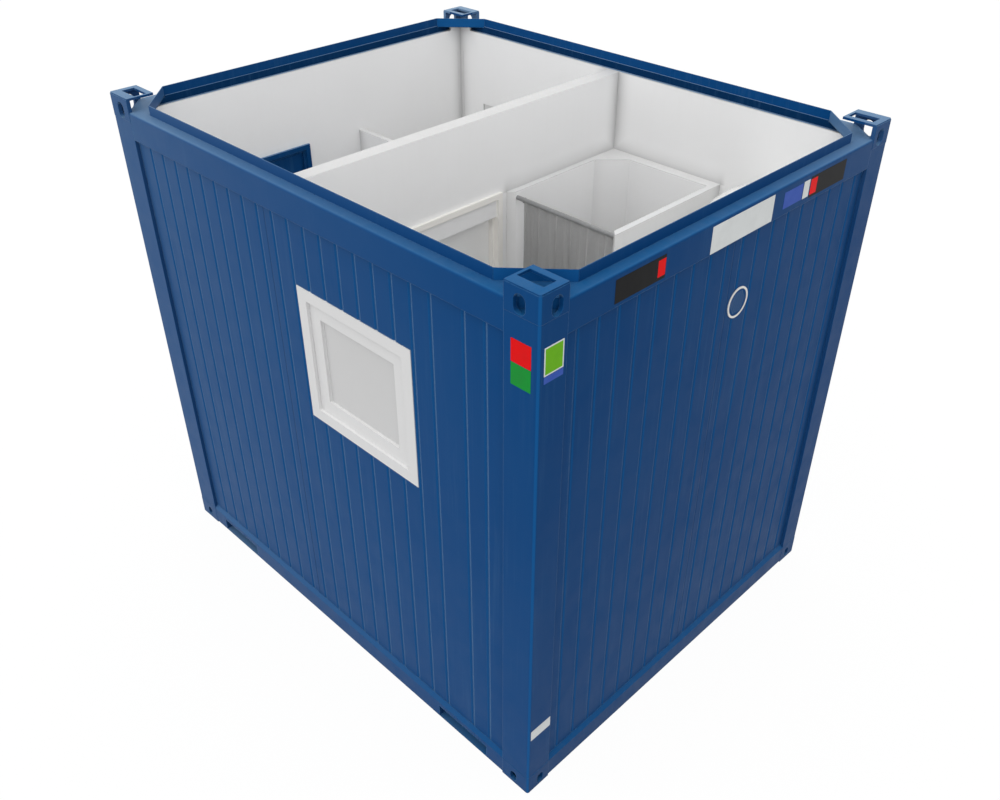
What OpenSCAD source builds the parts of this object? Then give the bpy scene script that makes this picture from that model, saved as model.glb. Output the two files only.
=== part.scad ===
// Sanitary container: a steel cabin on a short container plan, with its roof off.
// Millimetres, +Z up. X runs along the long walls, Y across, and the origin is the centre of the base.
// The window wall faces -Y, the vent wall +X and the outer door -X.

/* [Frame] */
// Length over the corner castings
container_l = 2989; // [2900:1:3100]
// Width over the corner castings
container_w = 2435; // [2400:1:2500]
// Height over the corner castings
container_h = 2800; // [2750:1:2900]
// Length of a corner casting along the long wall
casting_l = 175; // [165:1:185]
// Width of a corner casting along the short wall
casting_w = 149; // [140:1:158]
// Height of a corner casting
casting_h = 118; // [112:1:124]
// Wall of a corner casting
casting_wall = 20; // [16:1:22]
// Thickness of the castings' plates
casting_plate = 12; // [9:1:14]
// Height of the step round a top casting's plate
step_h = 6; // [4:1:8]
// Width of that step
step_in = 3; // [2:0.5:4]
// How far a hook pocket's slanting back passes the casting's ends
pocket_past = 6; // [2:1:8]
// Sheet thickness of posts and rails
plate_t = 4; // [3:0.5:5]
// Radius on the outer edge of a post
post_r = 12; // [8:1:16]
// How far rails and posts stand back from the castings' faces
frame_set = 1; // [0.8:0.1:1.5]
// Depth of the lips that close a post and a roof rail against the panels
lip_depth = 27; // [24:1:30]

/* [Roof frame] */
// Drop from the casting tops to the gutter ledge
ledge_drop = 69; // [65:1:75]
// Height of the roof rail's outer face
roof_rail_h = 141; // [130:1:150]
// Width of the gutter ledge
ledge_w = 58; // [54:1:60]
// Drop from the casting tops to the top of the upstand
upstand_drop = 20; // [15:1:30]
// Width of the shelf that carries the ceiling
shelf_w = 10; // [8:1:12]
// Drop from the casting tops to the top of the linings
lining_drop = 103; // [100:1:106]
// Where the gutter corner starts, from the end of the container
corner_cut_x = 284.5; // [275:0.5:295]
// Where the gutter corner starts, from the side of the container
corner_cut_y = 262.5; // [255:0.5:270]
// Length of the crane aperture in a casting
aperture_l = 126; // [120:1:130]
// Width of the crane aperture in a casting
aperture_w = 66; // [60:1:68]
// Height of the oval hook holes in the top castings
hook_h = 83; // [78:1:86]
// Width of the oval hook holes in the top castings
hook_w = 58; // [52:1:60]
// Height of the oval holes in the bottom castings
lash_h = 62; // [56:1:68]
// Width of the oval holes in the bottom castings
lash_w = 40; // [36:1:46]

/* [Floor frame] */
// Clearance under the floor rails
rail_lift = 10; // [8:1:14]
// Width of a fork pocket
fork_w = 352; // [330:1:360]
// Height of a fork pocket
fork_h = 80; // [74:1:86]
// Distance of a fork pocket's middle from the container's end
fork_end = 467; // [464:1:485]
// Thickness of the floor deck
deck_t = 22; // [18:1:26]
// Width of the rail flange under the panels
flange_w = 110; // [100:1:120]
// Width of a cross member
cross_w = 60; // [50:1:70]

/* [Walls] */
// How far the panels stand back from the frame
panel_recess = 20; // [18:1:22]
// Thickness of an insulated wall panel
panel_t = 65; // [62:1:68]
// Thickness of the inner lining
lining_t = 12; // [10:1:14]
// Distance between the grooves of a panel
groove_pitch = 116.8; // [110:0.1:120]
// Width of a groove
groove_w = 18; // [14:1:20]
// Depth of a groove
groove_d = 4; // [2:0.5:5]
// Position of the panel joint on the long walls
joint_x = -208; // [-230:1:-190]
// Flat strip between the last module of a long wall and its filler piece
wide_flat = 188.4; // [180:0.1:190]
// Leg of the strip in each inner corner
trim_leg = 25; // [20:1:30]

/* [Windows] */
// Width of a window frame
window_w = 786; // [760:1:800]
// Height of a window frame
window_h = 726; // [700:1:740]
// Height of the window sill
window_z = 1530; // [1500:1:1560]
// Distance of the front window's middle from the panel joint
front_window_side = 584; // [560:1:600]
// Distance of the back window's middle from the panel joint
back_window_side = 587; // [500:1:590]
// Visible width of the fixed frame
frame_border = 62; // [58:1:66]
// Visible width of the sash
sash_border = 74; // [70:1:80]
// Depth of a window frame
window_depth = 72; // [66:1:72]
// Overlap of the frame's lip on the sash
sash_overlap = 8; // [7:1:10]
// Gap round the sash
sash_gap = 4; // [4:0.5:5]
// Thickness of the glazing unit
pane_t = 24; // [20:1:26]

/* [Vent] */
// Diameter of the vent ring
vent_d = 150; // [140:1:160]
// Width of the vent ring's band
vent_band = 10; // [8:1:12]
// Place of the vent along the end wall
vent_y = 88; // [80:1:130]
// Drop of the vent from the casting tops
vent_drop = 552; // [500:1:600]
// Diameter of a hole in the grille
vent_hole_d = 7; // [5:0.5:8]
// Distance between the holes of the grille
vent_pitch = 13; // [12:0.5:16]

/* [Doors] */
// Width of the outer and inner door frames
door_w = 875; // [850:1:890]
// Height of both door frames' tops above the base
door_head_z = 2265; // [2240:1:2290]
// Distance of the outer door's middle from the window side
outer_door_side = 652; // [640:0.5:670]
// Distance of the inner door's middle from the shower cabin's front
inner_door_side = 476.5; // [465:0.5:495]
// Width of the outer door frame's face
outer_jamb = 28; // [26:1:32]
// Width of the inner door frame's face
inner_jamb = 33; // [30:1:36]
// Thickness of a door leaf
leaf_t = 40; // [38:1:42]
// Gap round a door leaf
leaf_gap = 3; // [2.5:0.5:4]
// Width of the strips that a leaf closes on
stop_w = 15; // [12:1:18]
// Lower edge of the fixed panel over the inner door
transom_z = 2131; // [2100:1:2150]
// Radius of a hinge barrel
barrel_r = 8; // [7:0.5:8]
// Length of half a hinge barrel
barrel_l = 45; // [40:1:55]
// Radius of a hinge pin
hinge_pin_r = 5; // [4.5:0.5:5.5]
// Height of a lever above the floor
lever_h = 1050; // [1000:1:1100]
// Distance of a lever from the edge of its leaf
backset = 60; // [55:1:70]
// Length of a lever
lever_l = 118; // [110:1:125]

/* [Rooms] */
// Face of the partition towards the shower
partition_x = -85; // [-90:1:-80]
// Thickness of the partition
partition_t = 83; // [80:1:90]
// Distance of the cubicle wall's face from the back lining
cubicle_side = 867.5; // [855:0.5:880]
// Thickness of the cubicle wall
cubicle_t = 30; // [27:1:32]
// Height of the cubicle wall's top above the base
cubicle_z = 2250; // [2200:1:2300]
// Distance of the cubicle's doorway from the partition
wc_door_side = 37; // [30:1:50]
// Width of the cubicle's doorway
wc_door_w = 625; // [610:1:635]

/* [Shower] */
// Width of the shower cabin
cabin_w = 756; // [740:1:770]
// Depth of the shower cabin
cabin_d = 905.5; // [890:0.5:915]
// Height of the cabin's top above the base
cabin_z = 2250; // [2240:1:2300]
// Thickness of the cabin's side walls
cabin_wall = 37; // [34:1:40]
// Thickness of the cabin's back wall
cabin_back = 70.5; // [65:0.5:75]
// Size of the cabin's slanting corner
cabin_corner = 143; // [130:1:155]
// Height of the shower tray
tray_h = 130; // [110:1:150]
// Width of the shower tray's front rim
tray_rim = 22; // [18:1:26]
// Depth of the shower tray's well
tray_well = 70; // [60:1:80]
// Radius of the curtain rod
rod_r = 10; // [8:0.5:12]
// Distance of the rod from the cabin's front
rod_inset = 53; // [48:1:60]
// Height of the shower head's arm above the floor
shower_h = 1880; // [1800:10:1950]
// Reach of the shower head's arm
arm_l = 95; // [85:1:110]
// Drop of the rod from the cabin's top
rod_drop = 35; // [30:1:45]
// Thickness of the curtain
cloth_t = 3; // [2.5:0.5:4]
// Depth of a curtain fold to each side
fold_depth = 24; // [18:1:26]
// Number of curtain folds
fold_count = 11; // [8:1:12]
// Gap between the drawn curtain and the cabin's wall
curtain_gap = 42; // [30:1:50]

/* [Fittings] */
// Distance of the toilet's middle from the back lining
toilet_side = 419.5; // [400:0.5:440]
// Height of the toilet's rim above the floor
toilet_h = 400; // [380:1:420]
// Depth of the toilet's cistern
cistern_d = 140; // [130:1:145]
// Distance of the seat's hinge from the middle of the bowl
seat_back = 190; // [185:1:200]
// Width of the toilet's cistern
cistern_w = 380; // [350:5:400]
// Height of the toilet's cistern
cistern_h = 350; // [320:5:380]
// Radius of the toilet's rim
toilet_r = 178; // [170:1:185]
// Distance of the washbasin's middle from the front lining
basin_side = 790.5; // [720:0.5:870]
// Height of the washbasin above the floor
basin_h = 850; // [820:1:900]
// Depth of the washbasin's bowl
bowl_h = 140; // [120:5:150]
// Radius of the washbasin's bowl
bowl_r = 185; // [170:1:190]
// Radius of the water heater
heater_r = 245; // [230:1:248]
// Distance of the water heater's middle from the end lining
heater_end = 312.5; // [300:0.5:330]
// Distance of the water heater's middle from the back lining
heater_off = 290; // [285:1:300]
// Height of the water heater's shoulder above the base
heater_z = 2315; // [2250:1:2330]
// Height of the water heater between its shoulders
heater_h = 760; // [700:10:800]
// Height of the water heater's dome
heater_dome = 120; // [100:1:125]
// Radius of a water pipe
pipe_r = 9; // [8:0.5:10]

/* [Hidden] */

hx = container_l / 2;
hy = container_w / 2;
fork_x = hx - fork_end;
clear = 0.05;                            // running clearance of a pin or spindle
seat = 0.3;                              // gap between soft or moving pieces and their seats
z_ledge = container_h - ledge_drop;
z_roof_rail = z_ledge - roof_rail_h;
z_upstand = container_h - upstand_drop;
z_lining = container_h - lining_drop;
z_shelf = z_ledge + 3;                   // top of the shelf inside the upstand
z_tail = z_ledge - plate_t - 1;          // top of what runs on under the gutter corners
z_foot = casting_h + panel_recess;       // foot of the wall panels, on the sloping sill
z_floor = z_foot + deck_t;
vent_z = container_h - vent_drop;
front_window_x = joint_x + front_window_side;
back_window_x = joint_x - back_window_side;
panel_in = panel_recess + panel_t;       // depth of the panels' inner face
room_in = panel_in + lining_t;           // depth of the rooms' walls
room_x = hx - room_in;
room_y = hy - room_in;
span_x = hx - casting_l;                 // half length between castings
span_y = hy - casting_w;
flange_in = 50;                          // depth of a floor rail's lower flange
sash_in = frame_border - sash_overlap;   // from the window's edge to the sash
window_out = panel_recess - 3;           // depth of the window's outer face
sash_out = window_out + 16 + seat;       // depth of the sash's outer face
window_in = window_out + window_depth;   // depth of the window's inner face
leaf_out = 42;                           // depth of the outer leaf's outer face
leaf_foot = z_floor + leaf_gap;
hinge_zs = [260, 1060, 1820];            // heights of the hinges above the floor
lever_z = z_floor + lever_h;
grip_r = 8;                              // radius of a lever's spindle
grip_gap = 26;                           // finger room behind a lever
rose_t = 8;
frame_in = partition_x - partition_t - 4; // face of the inner door frame towards the entrance
frame_out = partition_x + 16;            // face of the inner door frame towards the shower
cab_x1 = partition_x + cabin_w;
cab_y0 = room_y - cabin_d;
outer_door_y = -hy + outer_door_side;
inner_door_y = cab_y0 - inner_door_side;
cubicle_y = room_y - cubicle_side;
wc_door_x = partition_x - partition_t - wc_door_side - wc_door_w;
toilet_y = room_y - toilet_side;
basin_y = -room_y + basin_side;
cab_in_x0 = partition_x + cabin_wall;
cab_in_x1 = cab_x1 - cabin_wall;
cab_in_y = room_y - cabin_back;
rod_y = cab_y0 + rod_inset;
rod_z = cabin_z - rod_drop;
curtain_x0 = cab_in_x0 + curtain_gap;
curtain_x1 = cab_in_x1 - 6 - seat;
curtain_z0 = z_floor + tray_h - tray_well + 25;
valve_y = cab_y0 + cabin_d * 0.55;
valve_z = z_floor + 1040;
rim_z = z_floor + toilet_h;
toilet_x = -room_x + cistern_d + seat_back + 65;    // middle of the toilet's bowl
seat_hinge_x = toilet_x - seat_back;
basin_z = z_floor + basin_h;
basin_x = room_x - 250;                  // middle of the bowl
heater_x = room_x - heater_end;
heater_y = room_y - heater_off;
pipe_y = room_y - 25;                    // pipes run along the linings at this distance
steel_blue = [0.12, 0.28, 0.47];
panel_blue = [0.13, 0.30, 0.50];
cream = [0.82, 0.81, 0.79];

// ---- helpers

// Puts its children, drawn from an outer corner inwards, at the four corners
module four_corners() {
    for (sx = [0, 1], sy = [0, 1])
        translate([(2 * sx - 1) * hx, (2 * sy - 1) * hy, 0])
            mirror([sx, 0, 0])
                mirror([0, sy, 0])
                    children();
}

// A section drawn as [depth, height], run along a long wall
module along_long(half) {
    for (s = [0, 1])
        mirror([0, s, 0])
            translate([-half, -hy, 0])
                rotate([90, 0, 90])
                    linear_extrude(2 * half)
                        children();
}

// The same section along a short wall
module along_short(half) {
    for (s = [0, 1])
        mirror([s, 0, 0])
            translate([hx, -half, 0])
                rotate([90, 0, 180])
                    linear_extrude(2 * half)
                        children();
}

// Bar from one corner to the opposite one
module block(a, b) {
    translate(a)
        cube(b - a);
}

// Upright oval hole along Y, centred
module oval_y(w, h, depth) {
    for (s = [-1, 1])
        translate([0, 0, s * (h - w) / 2])
            rotate([90, 0, 0])
                cylinder(r = w / 2, h = depth, center = true, $fn = 48);
    cube([w, depth, h - w], center = true);
}

// Rounded bar along Z, for grips
module grip(w, t, length) {
    translate([0, 0, w / 2])
        block([-w / 2, 0, 0], [w / 2, t, length - w]);
    for (z = [w / 2, length - w / 2])
        translate([0, 0, z])
            rotate([-90, 0, 0])
                cylinder(r = w / 2, h = t, $fn = 32);
}

// Pipe through axis-parallel points, with round elbows
module pipe_run(points, r) {
    for (i = [0:len(points) - 2]) {
        a = points[i];
        d = points[i + 1] - a;
        turn = d.x != 0 ? [0, sign(d.x) * 90, 0]
            : d.y != 0 ? [-sign(d.y) * 90, 0, 0] : [d.z < 0 ? 180 : 0, 0, 0];
        translate(a)
            rotate(turn)
                cylinder(r = r, h = norm(d), $fn = 32);
        if (i > 0)
            translate(a)
                sphere(r = r, $fn = 32);
    }
}

// ---- floor frame

// Folded rail with a sloping sill, as [depth, height]
module floor_rail_section() {
    t = plate_t;
    polygon([
        [frame_set, rail_lift],
        [frame_set, casting_h],
        [panel_recess, z_foot],
        [flange_w, z_foot],
        [flange_w, z_foot - t],
        [panel_recess + t / 2, z_foot - t],
        [frame_set + t, casting_h - t / 2],
        [frame_set + t, rail_lift + t],
        [flange_in, rail_lift + t],
        [flange_in, rail_lift]
    ]);
}

module floor_rails_long() {
    color(steel_blue)
        difference() {
            along_long(span_x)
                floor_rail_section();
            for (s = [-1, 1])
                block(
                    [s * fork_x - fork_w / 2 - plate_t, -hy - 1, 0],
                    [s * fork_x + fork_w / 2 + plate_t, hy + 1, rail_lift + fork_h + plate_t]
                );
        }
}

module floor_rails_short() {
    color(steel_blue)
        along_short(span_y)
            floor_rail_section();
}

// C-section members under the deck, clear of the fork tunnels
module floor_cross_members() {
    gap = (fork_x - fork_w / 2 - plate_t - cross_w / 2 - 10) / 2;
    color([0.35, 0.37, 0.40])
        for (x = [-2 * gap, -gap, 0, gap, 2 * gap, -(span_x - cross_w / 2), span_x - cross_w / 2])
            translate([x, 0, 0])
                difference() {
                    union() {
                        block(
                            [-cross_w / 2, -hy + flange_w, rail_lift + plate_t],
                            [cross_w / 2, hy - flange_w, z_foot]
                        );
                        block(
                            [-cross_w / 2, -hy + panel_recess + plate_t, rail_lift + plate_t],
                            [cross_w / 2, hy - panel_recess - plate_t, z_foot - plate_t]
                        );
                    }
                    block(
                        [-cross_w / 2 + plate_t, -hy, rail_lift + 2 * plate_t],
                        [cross_w, hy, z_foot - 2 * plate_t]
                    );
                }
}

// Closed tunnels that a fork-lift's forks go through
module fork_tunnels() {
    face = hy - frame_set;
    color(steel_blue)
        for (s = [-1, 1])
            translate([s * fork_x, 0, rail_lift])
                difference() {
                    block([-fork_w / 2 - plate_t, -face, 0], [fork_w / 2 + plate_t, face, fork_h + plate_t]);
                    block([-fork_w / 2, -hy - 1, plate_t], [fork_w / 2, hy + 1, fork_h]);
                }
}

module underfloor_sheets() {
    inner = fork_x - fork_w / 2 - plate_t;
    outer = fork_x + fork_w / 2 + plate_t;
    color([0.60, 0.62, 0.64]) {
        block([-inner, -hy + flange_in, rail_lift], [inner, hy - flange_in, rail_lift + plate_t]);
        for (s = [0, 1])
            mirror([s, 0, 0]) {
                block([outer, -hy + flange_in, rail_lift], [span_x, hy - flange_in, rail_lift + plate_t]);
                block([span_x, -span_y, rail_lift], [hx - flange_in, span_y, rail_lift + plate_t]);
            }
    }
}

// ---- castings

hook_u = 98.5;                           // middle of the apertures from the end face
hook_v = 85.5;                           // middle of the apertures from the side face
module aperture(z, h) {
    translate([hook_u - aperture_l / 2, hook_v - aperture_w / 2, z])
        cube([aperture_l, aperture_w, h]);
}

// Outline of a casting with its outer corner rounded; its two outer faces can be set in
module casting_plan(in = 0) {
    r = post_r - in;
    translate([in, in])
        difference() {
            square([casting_l - in, casting_w - in]);
            difference() {
                square(r);
                translate([r, r])
                    circle(r = r, $fn = 64);
            }
        }
}

// Oval hole in each of the two outer faces
module two_ovals(w, h, z) {
    translate([hook_u, 0, z])
        oval_y(w, h, 2 * casting_wall + 2);
    translate([0, hook_v + 3, z])
        rotate([0, 0, 90])
            oval_y(w, h, 2 * casting_wall + 2);
}

// Hollow casting with an aperture below and an oval hole in each outer face
module bottom_castings() {
    w = casting_wall;
    p = casting_plate;
    color(steel_blue)
        four_corners()
            difference() {
                linear_extrude(casting_h)
                    casting_plan();
                translate([w, w, p])
                    cube([casting_l - w - p, casting_w - w - p, casting_h - 2 * p]);
                aperture(-1, p + 2);
                two_ovals(lash_w, lash_h, casting_h * 0.41);
            }
}

// Casting with a stepped top plate, a crane aperture and two oval hook holes into one pocket.
// The pocket's back slants from one wall to the other and ends at the gutter ledge. Above the
// ledge the casting is open towards the roof; under it, it leaves the room's corner free.
module top_castings() {
    w = casting_wall;
    base = container_h - casting_h;
    ledge = z_ledge - base;
    under = casting_h - casting_plate;
    floor_t = plate_t;
    back_x = casting_l + pocket_past;
    back_y = casting_w + pocket_past * casting_w / casting_l;
    color(steel_blue)
        four_corners()
            translate([0, 0, base])
                difference() {
                    union() {
                        linear_extrude(casting_h - step_h)
                            casting_plan();
                        linear_extrude(casting_h)
                            casting_plan(step_in);
                    }
                    translate([w, w, ledge])
                        cube([casting_l, casting_w, under - ledge]);
                    translate([0, 0, floor_t])
                        linear_extrude(under - floor_t)
                            polygon([[w, w], [back_x * (1 - w / back_y), w], [w, back_y * (1 - w / back_x)]]);
                    translate([panel_in, panel_in, -1])
                        cube([casting_l, casting_w, ledge - plate_t + 1]);
                    aperture(under - 1, casting_plate + 2);
                    two_ovals(hook_w, hook_h, hook_h / 2 + floor_t + 1);
                }
}

// ---- posts and roof frame

// Folded corner post: two faces, a rounded edge and a lip against each panel
module corner_posts() {
    r = post_r;
    t = plate_t;
    long = casting_l - frame_set;
    wide = casting_w - frame_set;
    lip = lip_depth - frame_set;
    color(steel_blue)
        four_corners()
            translate([0, 0, casting_h])
                linear_extrude(container_h - 2 * casting_h)
                    translate([frame_set, frame_set])
                        difference() {
                            union() {
                                translate([r, r])
                                    circle(r = r, $fn = 48);
                                translate([r, 0])
                                    square([long - r, lip]);
                                translate([0, r])
                                    square([lip, wide - r]);
                            }
                            translate([r, r])
                                circle(r = r - t, $fn = 48);
                            translate([r, t])
                                square([long - r - t, lip]);
                            translate([t, r])
                                square([lip, wide - r - t]);
                        }
}

// Outer face with a rounded top edge, gutter ledge and bottom lip, as [depth, height]
module roof_rail_section() {
    r = post_r;
    t = plate_t;
    face = frame_set;
    translate([face, z_roof_rail])
        square([t, roof_rail_h - r]);
    translate([face + r, z_ledge - r])
        intersection() {
            difference() {
                circle(r = r, $fn = 48);
                circle(r = r - t, $fn = 48);
            }
            translate([-r, 0])
                square(r);
        }
    translate([face + r, z_ledge - t])
        square([ledge_w + t - r - face, t]);
    translate([face, z_roof_rail])
        square([lip_depth - face, t]);
    translate([lip_depth - t, z_roof_rail])
        square([t, 5 * t]);
}

// Upright web behind the ledge
module upstand_section() {
    translate([ledge_w, z_shelf - plate_t])
        square([plate_t, z_upstand - z_shelf + plate_t]);
}

// Shelf at the height z and skirt on the room side of the upstand
module skirt_section(z) {
    translate([ledge_w, z - plate_t])
        square([shelf_w, plate_t]);
    translate([ledge_w + shelf_w - plate_t, z_lining])
        square([plate_t, z - z_lining]);
}

// Space that the lower tails leave to the skirt between them
module tail_gap() {
    translate([0, z_lining - 1])
        square([2 * ledge_w, casting_h]);
}

skirt_past = [97, 85];                   // length of the tails on the long and the short walls

module roof_rails_long() {
    color(steel_blue) {
        along_long(span_x)
            roof_rail_section();
        along_long(hx - corner_cut_x)
            upstand_section();
        along_long(hx - corner_cut_x)
            skirt_section(z_shelf);
        difference() {
            along_long(hx - corner_cut_x + skirt_past.x)
                skirt_section(z_tail);
            along_long(hx - corner_cut_x - plate_t)
                tail_gap();
        }
    }
}

module roof_rails_short() {
    color(steel_blue) {
        along_short(span_y)
            roof_rail_section();
        along_short(hy - corner_cut_y)
            upstand_section();
        along_short(hy - corner_cut_y)
            skirt_section(z_shelf);
        difference() {
            along_short(hy - corner_cut_y + skirt_past.y)
                skirt_section(z_tail);
            along_short(hy - corner_cut_y - plate_t)
                tail_gap();
        }
    }
}

// Slanting upstand that carries the gutter round a casting, with its piece of ledge
module gutter_corners() {
    e = ledge_w + plate_t;
    color(steel_blue)
        four_corners() {
            translate([0, 0, z_ledge])
                linear_extrude(z_upstand - z_ledge)
                    polygon([
                        [corner_cut_x, ledge_w],
                        [corner_cut_x, e],
                        [e, corner_cut_y],
                        [ledge_w, corner_cut_y]
                    ]);
            translate([0, 0, z_ledge - plate_t])
                linear_extrude(plate_t)
                    polygon([
                        [casting_l, e],
                        [corner_cut_x, e],
                        [e, corner_cut_y],
                        [e, casting_w],
                        [casting_l, casting_w]
                    ]);
        }
}

// ---- walls

// Panel between two places on a wall, with upright grooves, as seen from outside at y = 0
module grooved_panel(a, b, grooves) {
    w = groove_w / 2;
    outline = [
        for (g = grooves)
            for (p = [[g - w, 0], [g - w + groove_d, groove_d], [g + w - groove_d, groove_d], [g + w, 0]])
                p
    ];
    translate([0, panel_recess, z_foot])
        linear_extrude(z_roof_rail - z_foot)
            polygon(concat([[a, 0]], outline, [[b, 0], [b, panel_t], [a, panel_t]]));
    block(
        [a, ledge_w + shelf_w - plate_t, z_roof_rail],
        [b, panel_in, z_lining]
    );
}

function grooves_from(start, step, count) = count < 1 ? [] : [for (k = [0:count - 1]) start + k * step];
function mirrored(list) = [for (k = [len(list) - 1:-1:0]) -list[k]];
// Number of grooves that fit between a first one and the end of a panel
function fitting(first, end) = max(0, floor((end - groove_w - first) / groove_pitch) + 1);
half_pitch = groove_pitch / 2;
full_modules = min(10, fitting(joint_x + half_pitch, span_x));
last_groove = joint_x + groove_pitch * (full_modules - 0.5) + wide_flat;
first_left = half_pitch - joint_x;
left_grooves = mirrored(grooves_from(first_left, groove_pitch, fitting(first_left, span_x)));
right_grooves = concat(
    grooves_from(joint_x + half_pitch, groove_pitch, full_modules),
    grooves_from(last_groove, groove_pitch, fitting(last_groove, span_x))
);
end_grooves = grooves_from(half_pitch, groove_pitch, fitting(half_pitch, span_y));
end_grooves_back = mirrored(end_grooves);

// Puts a wall drawn from outside at y = 0 on one of the four sides
module on_front() {
    translate([0, -hy, 0])
        children();
}

module on_back() {
    mirror([0, 1, 0])
        on_front()
            children();
}

// Here the wall's own x runs towards +Y
module on_right() {
    translate([hx, 0, 0])
        rotate([0, 0, 90])
            children();
}

module on_left() {
    mirror([1, 0, 0])
        on_right()
            children();
}

module plain_panels() {
    color(panel_blue) {
        on_front()
            grooved_panel(-span_x, joint_x, left_grooves);
        on_back()
            grooved_panel(joint_x, span_x, right_grooves);
        on_right()
            grooved_panel(-span_y, 0, end_grooves_back);
        on_left()
            grooved_panel(0, span_y, end_grooves);
    }
}

// Through-hole for a window whose middle is at x
module window_hole(x) {
    block(
        [x - window_w / 2, -1, window_z],
        [x + window_w / 2, room_in + 1, window_z + window_h]
    );
}

module window_panels() {
    color(panel_blue) {
        on_front()
            difference() {
                grooved_panel(joint_x, span_x, right_grooves);
                window_hole(front_window_x);
            }
        on_back()
            difference() {
                grooved_panel(-span_x, joint_x, left_grooves);
                window_hole(back_window_x);
            }
    }
}

vent_r = vent_d / 2 - vent_band;         // bore of the vent's duct
duct_r = vent_r + 3;
module vent_hole() {
    translate([vent_y, -1, vent_z])
        rotate([-90, 0, 0])
            cylinder(r = duct_r + 0.2, h = room_in + 2, $fn = 64);
}

module vent_panel() {
    color(panel_blue)
        on_right()
            difference() {
                grooved_panel(0, span_y, end_grooves);
                vent_hole();
            }
}

module door_hole(y) {
    block([y - door_w / 2, -1, z_foot], [y + door_w / 2, room_in + 1, door_head_z]);
}

module door_panel() {
    color(panel_blue)
        on_left()
            difference() {
                grooved_panel(-span_y, 0, end_grooves_back);
                door_hole(outer_door_y);
            }
}

// Board along a wall; its ends run on up to the gutter corners, where the skirt stops
module lining(half, corner) {
    block([-half, panel_in, z_floor], [half, room_in, z_lining]);
    for (s = [0, 1])
        mirror([s, 0, 0])
            block([half - corner, panel_in, z_lining - 1], [half, room_in, z_tail]);
}

module long_wall_linings() {
    color(cream) {
        on_front()
            difference() {
                lining(room_x + lining_t, corner_cut_x - skirt_past.x - panel_in);
                window_hole(front_window_x);
            }
        on_back()
            difference() {
                lining(room_x + lining_t, corner_cut_x - skirt_past.x - panel_in);
                window_hole(back_window_x);
            }
    }
}

module end_wall_linings() {
    color(cream) {
        on_right()
            difference() {
                lining(room_y, corner_cut_y - skirt_past.y - room_in);
                vent_hole();
            }
        on_left()
            difference() {
                lining(room_y, corner_cut_y - skirt_past.y - room_in);
                door_hole(outer_door_y);
            }
    }
}

// Angle strips in the rooms' outer corners
module corner_trims() {
    t = 2;
    color(cream)
        four_corners()
            translate([room_in, room_in, z_floor])
                linear_extrude(z_lining - 140 - z_floor)
                    polygon([[0, 0], [trim_leg, 0], [trim_leg, t], [t, t], [t, trim_leg], [0, trim_leg]]);
}

module floor_deck() {
    color([0.55, 0.56, 0.57])
        block(
            [-room_x - lining_t, -room_y - lining_t, z_foot],
            [room_x + lining_t, room_y + lining_t, z_floor]
        );
}

// Wall between the entrance and the shower room, with the fixed panel over its door
module partition() {
    x0 = partition_x - partition_t;
    stop_x = frame_in + leaf_t + clear * 10;
    color(cream) {
        difference() {
            block([x0, -room_y, z_floor], [partition_x, room_y, z_lining]);
            block(
                [x0 - 1, inner_door_y - door_w / 2, z_floor - 1],
                [partition_x + 1, inner_door_y + door_w / 2, door_head_z]
            );
        }
        block(
            [stop_x, inner_door_y - door_w / 2 + inner_jamb, transom_z],
            [partition_x + 1, inner_door_y + door_w / 2 - inner_jamb, door_head_z - inner_jamb]
        );
        block(
            [frame_in, inner_door_y - door_w / 2 + inner_jamb, transom_z + stop_w + leaf_gap],
            [stop_x, inner_door_y + door_w / 2 - inner_jamb, door_head_z - inner_jamb]
        );
    }
}

wc_head = door_head_z - 100;             // top of the cubicle's doorway
module cubicle_wall() {
    x1 = partition_x - partition_t;
    y1 = cubicle_y + cubicle_t;
    wc_x1 = wc_door_x + wc_door_w;
    color(cream) {
        difference() {
            block([-room_x, cubicle_y, z_floor], [x1, y1, cubicle_z]);
            block([wc_door_x, cubicle_y - 1, z_floor - 1], [wc_x1, y1 + 1, wc_head]);
        }
        block([wc_x1 - stop_w, y1 + seat, z_floor], [wc_x1 + stop_w, y1 + 10, wc_head]);
        block([wc_x1, y1, z_floor], [wc_x1 + stop_w, y1 + seat, wc_head]);
    }
}

// ---- doors

// Stepped door frame from its plan section, drawn as [distance from the jamb's edge, depth]
module jamb_section(jamb, out, leaf_back, stop, stop_back, back) {
    polygon([
        [0, out],
        [jamb, out],
        [jamb, leaf_back],
        [jamb + stop, leaf_back],
        [jamb + stop, stop_back],
        [jamb, stop_back],
        [jamb, back],
        [0, back]
    ]);
}

module outer_door_frame() {
    back = room_in + 15;
    leaf_back = leaf_out + leaf_t + clear * 10;
    color(steel_blue)
        on_left()
            translate([outer_door_y, 0, 0]) {
                for (s = [0, 1])
                    mirror([s, 0, 0])
                        translate([-door_w / 2, 0, z_floor])
                            linear_extrude(door_head_z - outer_jamb - z_floor)
                                jamb_section(outer_jamb, window_out, leaf_back, stop_w, back - 15, back);
                translate([-door_w / 2, 0, door_head_z])
                    rotate([0, 90, 0])
                        linear_extrude(door_w)
                            jamb_section(outer_jamb, window_out, leaf_back, stop_w, back - 15, back);
                block([-door_w / 2, window_out, z_foot], [door_w / 2, panel_in, z_floor]);
            }
}

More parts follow.
